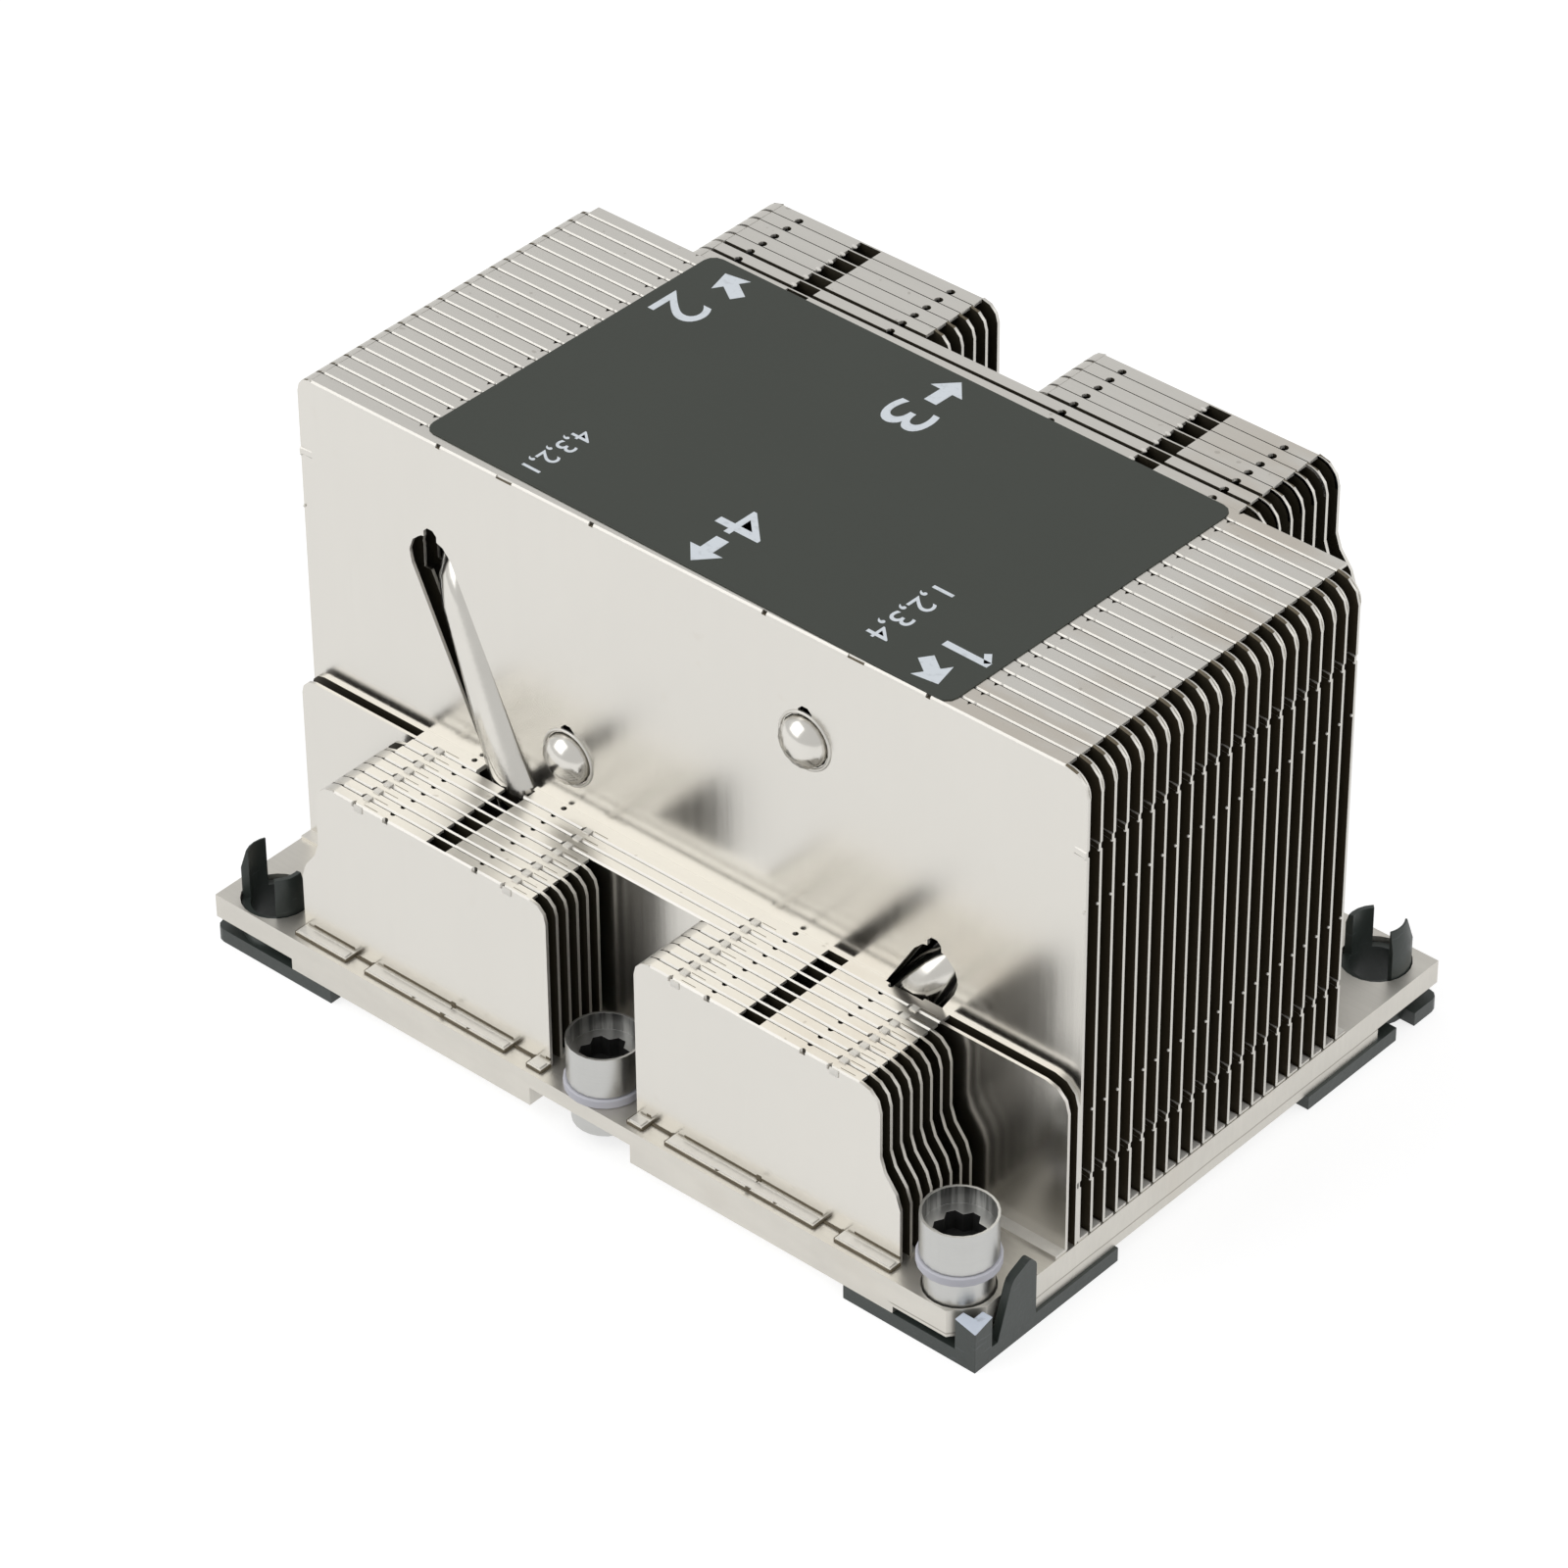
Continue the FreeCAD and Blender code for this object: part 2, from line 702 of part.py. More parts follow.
def clip_frame():
    """Flat frame of the clip, with its window and edge recesses."""
    half_x = half_length + clip_overhang
    half_y = half_width
    corners = [(-half_x, -half_y), (half_x, -half_y), (half_x, half_y), (-half_x, half_y)]
    frame = plate_xy(corners, [clip_corner_radius, clip_post_corner_radius] * 2, 0, clip_thickness)
    high = clip_thickness + 1
    wx = window_half_length
    wy = window_half_width
    window = plate_xy([(-wx, -wy), (wx, -wy), (wx, wy), (-wx, wy)], [clip_window_radius] * 4, -1, high)
    recess_half = half_length - clip_front_recess_margin
    front = block(-recess_half, recess_half, -half_y - 1, -half_y + clip_front_recess, -1, high)
    side = block(
        half_x - clip_side_recess, half_x + 1, -clip_side_recess_half, clip_side_recess_half, -1, high
    )
    notch = block(
        half_x - clip_notch_depth, half_x + 1, half_y - clip_notch_start, half_y - clip_notch_end, -1, high
    )
    tools = [window]
    for tool in (front, side, notch):
        tools = tools + [tool, turned_plan(tool)]
    for x, y in ((nut_x, -nut_y), (-nut_x, nut_y)):
        tools.append(upright(clip_stud_hole_radius, x, y, -1, high))
    return frame.cut(tools)


def guide_tube():
    """Split tube with a tall and a short prong, in the corner at -X, -Y."""
    top = base_top + max(height for angle, half_angle, height in prongs)
    rim = base_top - tube_rim_drop
    tube = turned(tube_outer_radius, 0, 0, 0, top)
    tube = tube.cut(upright(tube_inner_radius, 0, 0, -1, top + 1))
    keep = block(-tube_outer_radius, tube_outer_radius, -tube_outer_radius, tube_outer_radius, 0, rim)
    for angle, half_angle, height in prongs:
        reach = tube_outer_radius + 2
        left = math.radians(angle - half_angle)
        right = math.radians(angle + half_angle)
        wedge = Part.Face(
            Part.makePolygon([
                Vector(0, 0, 0),
                Vector(reach * math.cos(left), reach * math.sin(left), 0),
                Vector(reach * math.cos(right), reach * math.sin(right), 0),
                Vector(0, 0, 0),
            ])
        ).extrude(Vector(0, 0, base_top + height))
        keep = keep.fuse(wedge)
    tube = tube.common(keep)
    slope = skinned([
        turned_points(tube_outer_radius, 0, 0, top - prong_slope),
        turned_points(tube_outer_radius - prong_taper, 0, 0, top),
    ])
    tube = tube.common(slope.fuse(turned(tube_outer_radius, 0, 0, 0, top - prong_slope)))
    tube.translate(Vector(-nut_x, -nut_y, 0))
    return tube


def corner_post():
    """Angled post and leaning hook at the corner at +X, -Y."""
    half_x = half_length + clip_overhang
    half_y = half_width
    top = base_top - post_drop
    post = block(half_x - post_side, half_x, -half_y, -half_y + post_side, 0, top)
    inside = block(
        half_x - post_side - 1, half_x - post_wall, -half_y + post_wall, -half_y + post_side + 1,
        clip_thickness, top + 1
    )
    post = post.cut(inside)
    near = hook_near - half_y
    far = hook_far - half_y
    hook_top = base_top + hook_height
    shoulder = hook_top - hook_slope_height
    points = [
        Vector(half_x, near, 0),
        Vector(half_x, near, shoulder),
        Vector(half_x, near - hook_slope_near, hook_top),
        Vector(half_x, near - hook_slope_far, shoulder),
        Vector(half_x, far, clip_thickness),
        Vector(half_x, far, 0),
    ]
    wire = rounded_outline(points, [0, hook_round, hook_round, hook_shoulder_round, 0, 0])
    hook = Part.Face(wire).extrude(Vector(-hook_thickness, 0, 0))
    return post, hook


def carrier_clip():
    """Whole clip: frame, two guide tubes, two corner posts and two hooks."""
    frame = clip_frame()
    tube = guide_tube()
    post, hook = corner_post()
    solids = [frame]
    for piece in (tube, post, hook):
        solids = solids + [piece, turned_plan(piece)]
    bore = upright(tube_inner_radius, -nut_x, -nut_y, -1, clip_thickness + 1)
    return fused(solids).cut([bore, turned_plan(bore)])


def label():
    """Printed sheet stuck over the tops of the core fins."""
    half_x = half_length - label_end_margin
    low = core_front_y + label_side_margin + label_shift
    high = core_back_y + core_flange_reach - label_side_margin + label_shift
    corners = [(-half_x, low), (half_x, low), (half_x, high), (-half_x, high)]
    sheet_of_paper = plate_xy(corners, [label_corner] * 4, core_top, core_top + label_thickness)
    sheet_of_paper.rotate(Vector(0, (low + high) / 2, 0), Vector(0, 0, 1), label_turn)
    return sheet_of_paper


# ---- assembly -----------------------------------------------------------------------------

nodes = {
    "base_plate": base_plate(),
    "carrier_clip": carrier_clip(),
    "number_label": label(),
}

for name, side, foot_x, leg_x, leg_height in pipes:
    nodes[name] = heat_pipe(side, foot_x, leg_x, leg_height)

holes = []
front_holes = []
for name, side, foot_x, leg_x, leg_height in pipes:
    leg_z = base_top + leg_height
    holes.append(leg_hole(leg_x, leg_z, inner_hole_side_count))
    front_holes.append(leg_hole(leg_x, leg_z, pipe_side_count))
    front_holes.append(relief(leg_x, leg_z))
plain_fin = core_fin()
front_fin = plain_fin.cut(front_holes)
inner_fin = plain_fin.cut(holes)
for i in range(core_count):
    fin = front_fin.copy() if i == 0 else inner_fin.copy()
    fin.translate(Vector(0, i * core_pitch, 0))
    nodes["core_fin_%02d" % (i + 1)] = cleared(fin)

long_fins = []
for i in range(shelf_count):
    y = shelf_front_y + i * shelf_pitch
    number = i + 1
    if i < shelf_short_count:
        strip = shelf_strip if i == 0 else 0.0
        for side, word in ((-1, "left"), (1, "right")):
            fin = block_fin(shelf_top, shelf_reach, y, side, shelf_window_x, shelf_window_length, strip)
            nodes["shelf_fin_%s_%d" % (word, number)] = cleared(fin)
    elif i < shelf_short_count + shelf_bridge_count:
        fin = block_fin(shelf_top, shelf_reach, y, 0, shelf_window_x, shelf_window_length)
        nodes["shelf_bridge_fin_%d" % number] = cleared(fin)
    else:
        long_fins.append(cleared(long_shelf_fin(y, i < shelf_count - 1)))
long_halves = sorted(fused(long_fins).Solids, key=lambda solid: solid.CenterOfMass.x)
if len(long_halves) != 2:
    print("check the long shelf fins:", len(long_halves), "pieces")
nodes["shelf_long_fins_left"] = long_halves[0]
nodes["shelf_long_fins_right"] = long_halves[-1]

for i in range(rear_bridge_count):
    nodes["rear_bridge_fin_%d" % (i + 1)] = cleared(rear_fin(i, 0, False))
for side, word in ((-1, "left"), (1, "right")):
    stack = []
    for i in range(rear_short_count):
        stack.append(cleared(rear_fin(rear_bridge_count + i, side, i > 0)))
    nodes["rear_fins_" + word] = fused(stack)

for name, x, y in nut_places():
    lift = nut_float if name == "1" else 0.0
    place = Vector(x, y, base_top + lift)
    nut = captive_nut()
    nut.translate(place)
    nodes["captive_nut_" + name] = nut
    ring = retaining_ring()
    ring.translate(place)
    nodes["retaining_ring_" + name] = ring

os.makedirs("parts", exist_ok=True)
for name, shape in nodes.items():
    solids = shape.Solids
    if len(solids) != 1 or not shape.isValid():
        print("check", name, len(solids), shape.isValid())
    solids[0].exportStep("parts/%s.step" % name)
print(len(nodes), "pieces written")
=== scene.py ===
import math

import bmesh
import bpy
from mathutils import Euler, Matrix, Vector


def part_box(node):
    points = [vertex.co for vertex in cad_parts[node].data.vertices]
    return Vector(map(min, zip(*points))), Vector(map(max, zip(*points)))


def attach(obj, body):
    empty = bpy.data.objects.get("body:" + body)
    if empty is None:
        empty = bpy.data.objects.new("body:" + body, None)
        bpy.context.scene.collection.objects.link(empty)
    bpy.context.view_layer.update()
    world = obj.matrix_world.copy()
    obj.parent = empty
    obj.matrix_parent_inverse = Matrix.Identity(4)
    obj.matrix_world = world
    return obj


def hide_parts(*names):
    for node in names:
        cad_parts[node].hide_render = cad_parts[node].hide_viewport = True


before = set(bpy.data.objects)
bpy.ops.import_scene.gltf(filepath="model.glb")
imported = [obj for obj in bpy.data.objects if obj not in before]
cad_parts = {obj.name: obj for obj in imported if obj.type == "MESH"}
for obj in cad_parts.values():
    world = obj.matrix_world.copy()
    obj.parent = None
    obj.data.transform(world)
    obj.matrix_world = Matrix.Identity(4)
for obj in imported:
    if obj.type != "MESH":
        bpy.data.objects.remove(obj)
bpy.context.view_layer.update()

bl_info = {
    "name": "Passive server heatsink",
    "version": (1, 0, 0),
    "blender": (4, 5, 0),
    "location": "3D View > Sidebar > Heatsink",
    "description": "Gives a packed server heatsink its plated, turned, moulded and printed surfaces",
    "category": "Object",
}

CORE_FINS = sorted(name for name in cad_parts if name.startswith("core_fin"))
SHELF_FINS = sorted(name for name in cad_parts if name.startswith("shelf_"))
REAR_FINS = sorted(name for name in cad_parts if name.startswith("rear_"))
PIPES = sorted(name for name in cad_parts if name.startswith("heat_pipe"))
NUT_NUMBERS = ("1", "2", "3", "4")

BASE_LOW, BASE_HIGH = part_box("base_plate")
FRONT_FIN_LOW, FRONT_FIN_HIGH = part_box(CORE_FINS[0])
LAST_FIN_LOW, LAST_FIN_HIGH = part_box(CORE_FINS[-1])
SHELF_LOW, SHELF_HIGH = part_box("shelf_fin_left_2")
LABEL_LOW, LABEL_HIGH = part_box("number_label")
BASE_TOP = FRONT_FIN_LOW.z
CORE_TOP = FRONT_FIN_HIGH.z
SHELF_TOP = SHELF_HIGH.z
FIN_END = FRONT_FIN_HIGH.x
CORE_PITCH = (LAST_FIN_LOW.y - FRONT_FIN_LOW.y) / (len(CORE_FINS) - 1)
SHELF_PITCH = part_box("shelf_fin_left_3")[0].y - SHELF_LOW.y
SHELF_FRONT = SHELF_LOW.y - SHELF_PITCH
SHEET = 0.0004
NUT_RECESS = 0.0022
SOCKET_REACH = 0.0028
RECESS_REACH = 0.0039
# Heights above the base of two more painted highlight dots on each fin end.
EXTRA_HIGHLIGHT_BEADS = (0.043, 0.0166)


# ---- sizes and colours that a user would change ------------------------------------------------


def length(name, description, default):
    """Size property in metres."""
    return bpy.props.FloatProperty(
        name=name, description=description, default=default, min=0.0, unit="LENGTH", precision=5
    )


def share(name, description, default):
    """Property between none and all."""
    return bpy.props.FloatProperty(
        name=name, description=description, default=default, min=0.0, max=1.0, subtype="FACTOR"
    )


def tint(name, description, default):
    """Colour property."""
    return bpy.props.FloatVectorProperty(
        name=name, description=description, default=default, size=3, min=0.0, max=1.0, subtype="COLOR"
    )


class HeatsinkFinishes(bpy.types.PropertyGroup):
    """Colours and surface numbers of the finishes."""

    nickel: tint("Nickel", "Plated sheet of the fins", (0.70, 0.68, 0.635))
    nickel_roughness: share("Nickel roughness", "How matt the plated sheet is", 0.2)
    tarnish: tint("Tarnish", "Brownish bloom on the plated fin tops", (0.56, 0.50, 0.42))
    # Painted shade: this near-black colour of the sheet between the fins stands in for the shade deep in the
    # gaps.
    inside: tint("Between the fins", "Plated sheet deep between the fins", (0.026, 0.022, 0.013))
    base: tint("Base plate", "Milled and plated base", (0.70, 0.675, 0.62))
    steel: tint("Nuts", "Turned steel", (0.56, 0.56, 0.545))
    ring: tint("Rings", "Plastic ring under each nut", (0.60, 0.62, 0.66))
    plastic: tint("Carrier clip", "Moulded plastic", (0.034, 0.043, 0.039))
    worn: tint("Worn plastic", "Whitened plastic where parts rub", (0.66, 0.72, 0.82))
    # Painted shade: this brown colour of seams, folds and a small step on the base stands in for the shade
    # that falls in them.
    seam: tint("Seams", "Shaded seams and folds of the sheet", (0.14, 0.115, 0.075))
    film: tint("Label film", "Dark printed film", (0.035, 0.041, 0.032))
    print_white: tint("Print", "Numbers and arrows on the label", (0.74, 0.79, 0.84))


class HeatsinkSheetMetal(bpy.types.PropertyGroup):
    """Small forms of the folded fins."""

    edge_round: length("Edge round", "Rounding of sheared edges", 0.00005)
    jog_height: length("Jog height", "Length of the step pressed in each fin's end", 0.0009)
    jog_depth: length("Jog depth", "How far that step stands out", 0.0002)
    jog_below_top: length("Jog below top", "Upper step, below the fin's top", 0.0092)
    jog_above_base: length("Jog above base", "Lower step, above the base", 0.0073)
    lock_x: length("Lock place", "Interlocks of the core fins from the middle", 0.0373)
    lock_size: length("Lock size", "Notch of each interlock", 0.00036)
    tab_inner_x: length("Inner tab", "Inner row of interlock tabs from the middle", 0.0118)
    tab_outer_x: length("Outer tab", "Outer row of interlock tabs from the middle", 0.0334)
    tab_width: length("Tab width", "Width of one interlock tab", 0.0009)
    nick_inner_x: length("Inner nick", "Inner row of small nicks from the middle", 0.0163)
    nick_outer_x: length("Outer nick", "Outer row of small nicks from the middle", 0.0293)
    flange_growth: length("Flange growth", "How far each flange reaches on towards the next fin", 0.00007)
    lip_width: length("Lip width", "Bright lip left by the flange on a rounded corner", 0.00018)
    corner_radius: length("Corner radius", "Rounded corner of the core fins at +X", 0.003)
    left_radius: length("Left corner radius", "Rounded corner of the core fins at -X", 0.002)
    block_radius: length("Block corner radius", "Rounded corner of the rear and shelf fins", 0.0028)
    bay_radius: length("Bay corner radius", "Rounded corner of those fins beside the middle bay", 0.0022)
    cap_gap: length("Cap gap", "Space left between two caps on rounded corners", 0.0004)
    shelf_window_x: length("Shelf window place", "Openings in the shelf's flanges from the middle", 0.022)
    shelf_window_length: length("Shelf window", "Length of each of those openings", 0.0028)
    groove: length("Groove", "Width of the line between two rear flanges", 0.00012)
    window_x: length("Window place", "Openings in the flanges of the core from the middle", 0.024)
    rear_window_x: length("Rear window place", "Openings in the rear flanges from the middle", 0.0241)
    # Width of the painted shade lines along the turned-out strips.
    shade_line_width: length("Seam width", "Dark seam along the turned-out strips", 0.00014)


class HeatsinkParts(bpy.types.PropertyGroup):
    """Small forms of the pipes, the nuts and the clip."""

    collar_radius: length("Collar radius", "Burred collar round a pipe's tip", 0.00335)
    collar_wire: length("Collar thickness", "Half the thickness of that collar", 0.0002)
    base_round: length("Base edge", "Broken edge of the base", 0.0003)
    clip_round: length("Clip edge", "Rounding of the moulded edges", 0.00025)
    post_chamfer: length("Post chamfer", "How far the front post's outer corner slopes down", 0.0007)
    nut_round: length("Nut edge", "Broken edge of the turned nuts", 0.00012)


class HeatsinkLabel(bpy.types.PropertyGroup):
    """Numbers and arrows on the label."""

    digit_height: length("Digit height", "Height of the large numbers", 0.0059)
    small_height: length("Small digit height", "Height of the numbers in the two rows", 0.0029)
    arrow_width: length("Arrow width", "Width of an arrow's head", 0.0044)
    arrow_head: length("Arrow head", "Length of an arrow's head", 0.0024)
    arrow_shaft: length("Arrow shaft", "Width of an arrow's shaft", 0.0017)
    print_thickness: length("Print thickness", "Thickness of the print", 0.00002)


class HeatsinkStudio(bpy.types.PropertyGroup):
    """Camera, lamps and floor."""

    azimuth: bpy.props.FloatProperty(
        name="Azimuth", description="Camera's direction in plan", default=math.radians(41.598),
        subtype="ANGLE",
    )
    elevation: bpy.props.FloatProperty(
        name="Elevation", description="Camera's height angle", default=math.radians(37.189), subtype="ANGLE"
    )
    roll: bpy.props.FloatProperty(
        name="Roll", description="Camera's roll", default=math.radians(-0.489), subtype="ANGLE"
    )
    eye: bpy.props.FloatVectorProperty(
        name="Eye", description="Place of the camera", default=(0.38115, -0.43542, 0.46479),
        subtype="TRANSLATION",
    )
    lens: bpy.props.FloatProperty(
        name="Lens", description="Focal length in millimetres", default=156.265, min=1.0
    )
    floor_size: length("Floor", "Side of the floor", 4.0)
    floor_grey: share("Floor colour", "How much light the floor gives back", 0.42)
    floor_glow: share("Floor glow", "Light added where the camera or a mirror sees the floor", 0.76)
    room: share("Room light", "Level of the even light all round", 0.62)
    mirrored_room: share("Mirrored room", "Level of the room where the metal mirrors it", 0.78)
    key_power: bpy.props.FloatProperty(
        name="Key lamp", description="Power of the large soft lamp in watts", default=7.5, min=0.0
    )


GROUPS = {
    "heatsink_finishes": HeatsinkFinishes,
    "heatsink_sheet": HeatsinkSheetMetal,
    "heatsink_parts": HeatsinkParts,
    "heatsink_label": HeatsinkLabel,
    "heatsink_studio": HeatsinkStudio,
}


# ---- shader maths ------------------------------------------------------------------------------


def maths(operation, swapped=False):
    """Method that puts one Math node on two numbers or values."""

    def method(self, other=0.0):
        first, second = (other, self) if swapped else (self, other)
        return self.paint.add("ShaderNodeMath", {"operation": operation}, {0: first, 1: second})

    return method


class Value:
    """Number, colour or vector that changes over a surface."""

    def __init__(self, paint, socket):
        self.paint = paint
        self.socket = socket

    __add__ = maths("ADD")
    __radd__ = maths("ADD", swapped=True)
    __sub__ = maths("SUBTRACT")
    __rsub__ = maths("SUBTRACT", swapped=True)
    __mul__ = maths("MULTIPLY")
    __rmul__ = maths("MULTIPLY", swapped=True)
    __pow__ = maths("POWER")
    __abs__ = maths("ABSOLUTE")


class Graph:
    """Node tree under construction."""

    def __init__(self, tree):
        self.tree = tree
        tree.nodes.clear()

    def add(self, kind, settings=None, sockets=None, out=0):
        """Adds a node: its settings first, then the values or links of its sockets."""
        node = self.tree.nodes.new(kind)
        for key, setting in (settings or {}).items():
            if key == "stops":
                elements = node.color_ramp.elements
                elements[0].position = setting[0][0]
                elements[-1].position = setting[-1][0]
                for place, colour in setting[1:-1]:
                    elements.new(place)
                for element, (place, colour) in zip(elements, setting):
                    element.color = (*colour, 1.0)
            else:
                setattr(node, key, setting)
        for key, given in (sockets or {}).items():
            if isinstance(given, Value):
                self.tree.links.new(given.socket, node.inputs[key])
            else:
                node.inputs[key].default_value = given
        return None if out is None else Value(self, node.outputs[out])

    def rays(self):
        """Whether a ray comes straight from the camera, and whether it comes off a mirror."""
        camera = self.add("ShaderNodeLightPath", out="Is Camera Ray")
        return camera, Value(self, camera.socket.node.outputs["Is Glossy Ray"])

    def close(self, surface, kind="ShaderNodeOutputMaterial"):
        """Links a shader to the output."""
        self.add(kind, {}, {"Surface": surface}, out=None)


class Paint(Graph):
    """Material under construction, with its place on the piece as a starting value."""

    def __init__(self, name):
        self.material = bpy.data.materials.new(name)
        self.material.use_nodes = True
        super().__init__(self.material.node_tree)
        self.place = self.add("ShaderNodeTexCoord", out="Object")
        self.x = self.add("ShaderNodeSeparateXYZ", {}, {0: self.place}, out="X")
        self.y = Value(self, self.x.socket.node.outputs["Y"])
        self.z = Value(self, self.x.socket.node.outputs["Z"])

    def stretched(self, x, y, z):
        """The place on the piece, times a number along each axis."""
        return self.add("ShaderNodeVectorMath", {"operation": "MULTIPLY"}, {0: self.place, 1: (x, y, z)})

    def noise(self, where, scale=1.0, detail=3.0, roughness=0.55):
        """Cloudy value about one half."""
        return self.add(
            "ShaderNodeTexNoise", {},
            {"Vector": where, "Scale": scale, "Detail": detail, "Roughness": roughness}, out="Fac",
        )

    def ramp(self, value, low, high, smooth=True):
        """0 below low, 1 above high."""
        return self.add(
            "ShaderNodeMapRange", {"interpolation_type": "SMOOTHSTEP" if smooth else "LINEAR"},
            {"Value": value, "From Min": low, "From Max": high},
        )

    def mixed(self, factor, first, second):
        """Colour between two colours."""
        colours = [c if isinstance(c, Value) else (*c, 1.0) for c in (first, second)]
        return self.add(
            "ShaderNodeMix", {"data_type": "RGBA"}, {0: factor, 6: colours[0], 7: colours[1]}, out=2
        )

    def finish(self, colour, roughness, metallic=0.0, height=None, depth=0.0, coat=0.0):
        """Closes the material with its surface."""
        sockets = {
            "Base Color": colour if isinstance(colour, Value) else (*colour, 1.0),
            "Roughness": roughness,
            "Metallic": metallic,
            "Coat Weight": coat,
        }
        if height is not None:
            sockets["Normal"] = self.add("ShaderNodeBump", {}, {"Distance": depth, "Height": height})
        surface = self.add("ShaderNodeBsdfPrincipled", {}, sockets)
        self.close(surface)
        return self.material


# ---- finishes ----------------------------------------------------------------------------------


def finish_of(make, name=None):
    """Material with its maker's name or the name given, made when it is first needed."""
    name = name or make.__name__
    return bpy.data.materials.get(name) or make(name)


def times(colour, share_of_it):
    """Colour made lighter or darker."""
    return tuple(min(1.0, part * share_of_it) for part in colour)


def started(name):
    """The colours set by the user, and a material to put them in."""
    return bpy.context.scene.heatsink_finishes, Paint(name)


def plated_front(name):
    """Plated sheet seen face on, with the upright grain left by rolling."""
    look, paint = started(name)
    grain = paint.noise(paint.stretched(1500, 1500, 45), detail=4)
    cloud = paint.noise(paint.stretched(90, 90, 60), detail=3)
    shade = times(look.nickel, 0.93)
    colour = paint.mixed(grain * 0.6 + cloud * 0.4, shade, look.nickel)
    specks = paint.ramp(paint.noise(paint.stretched(420, 420, 420), detail=2), 0.70, 0.78)
    colour = paint.mixed(specks * 0.10, colour, look.tarnish)
    rough = look.nickel_roughness - 0.02 + 0.10 * grain
    return paint.finish(colour, rough, 1.0, grain * 0.6 + cloud, 0.00001)


def plated_top(name):
    """Plated flange seen from above, grain along the fin, with brownish bloom towards one end."""
    look, paint = started(name)
    grain = paint.noise(paint.stretched(60, 1600, 1600), detail=3)
    cloud = paint.noise(paint.stretched(70, 160, 70), detail=4)
    shade = times(look.nickel, 0.94)
    colour = paint.mixed(grain, shade, look.nickel)
    bloom = paint.ramp(cloud, 0.40, 0.64) * paint.ramp(paint.x, 0.010, 0.042)
    colour = paint.mixed(bloom * 0.55, colour, look.tarnish)
    specks = paint.ramp(paint.noise(paint.stretched(650, 650, 650), detail=1), 0.72, 0.76)
    colour = paint.mixed(specks * 0.35, colour, times(look.tarnish, 0.5))
    rough = look.nickel_roughness + 0.05 + 0.12 * grain
    return paint.finish(colour, rough, 1.0, grain + cloud, 0.000012)


def plated_edge(name):
    """Sheared edges and bends, bright from the punch."""
    look, paint = started(name)
    grain = paint.noise(paint.stretched(900, 900, 260), detail=3)
    colour = paint.mixed(grain, times(look.nickel, 0.92), look.nickel)
    return paint.finish(colour, 0.42 + 0.1 * grain, 0.8, grain, 0.00001)


def painted_highlight(name):
    """Painted highlight: small punched ears, tabs, beads and strip tops made lighter than the sheet, almost
    white.
    """
    look, paint = started(name)
    grain = paint.noise(paint.stretched(900, 900, 900), detail=3)
    bright = times(look.nickel, 1.25)
    colour = paint.mixed(grain, look.nickel, bright)
    return paint.finish(colour, 0.36 + 0.1 * grain, 0.35, grain, 0.00001)


def shaded_seam(name):
    """Painted shade: brown colour of a fold or a seam, where shade falls."""
    look, paint = started(name)
    cloud = paint.noise(paint.stretched(400, 400, 400), detail=2)
    colour = paint.mixed(cloud, times(look.seam, 0.7), times(look.seam, 1.3))
    return paint.finish(colour, 0.5 + 0.1 * cloud, 0.2)


def painted_gap_shade(name):
    """Painted shade between the fins: the plated sheet made dark where shade falls deep in the gaps, with
    painted light making it a little lighter and browner towards the mouth of each gap.
    """
    look, paint = started(name)
    # Painted light: lighter towards the open ends of the gaps, where more light gets in.
    mouth = paint.ramp(abs(paint.x), FIN_END - 0.0022, FIN_END)
    cloud = paint.noise(paint.stretched(300, 300, 120), detail=2)
    brown = (look.inside[0] * 1.9, look.inside[1] * 1.6, look.inside[2] * 1.3)
    colour = paint.mixed(mouth * 0.6 + cloud * 0.25, look.inside, brown)
    return paint.finish(colour, 0.5 + 0.1 * cloud, 0.15)


def milled_base(name):
    """Plated base with fine milling lines, dull patches, finger-rubbed places, and a painted shade line
    along a small step near each end.
    """
    look, paint = started(name)
    lines = paint.noise(paint.stretched(120, 2600, 500), detail=3)
    cloud = paint.noise(paint.stretched(140, 140, 140), detail=5, roughness=0.6)
    dark = times(look.base, 0.80)
    colour = paint.mixed(lines * 0.35 + cloud * 0.65, dark, times(look.base, 1.1))
    stain = paint.ramp(paint.noise(paint.stretched(60, 60, 60), detail=3), 0.58, 0.75)
    colour = paint.mixed(stain * 0.25, colour, look.tarnish)
    # Painted shade: a dark line along a small step near each end of the base.
    wander = paint.noise(paint.stretched(120, 120, 0), detail=2) * 0.0003
    off_line = abs(paint.z - (BASE_TOP - 0.0029) + wander)
    line = (1.0 - paint.ramp(off_line, 0.00004, 0.00012)) * paint.ramp(abs(paint.x), 0.0425, 0.0435)
    colour = paint.mixed(line * 0.55, colour, look.seam)
    return paint.finish(colour, 0.34 + 0.16 * cloud, 0.85, lines * 0.5 + cloud, 0.00002)


def drawn_pipe(name):
    """Plated copper tube with faint draw marks."""
    look, paint = started(name)
    marks = paint.noise(paint.stretched(500, 70, 500), detail=4)
    cloud = paint.noise(paint.stretched(220, 220, 220), detail=3)
    colour = paint.mixed(cloud, times(look.nickel, 0.9), look.nickel)
    return paint.finish(colour, 0.14 + 0.12 * marks, 1.0, marks + cloud * 0.5, 0.00002)


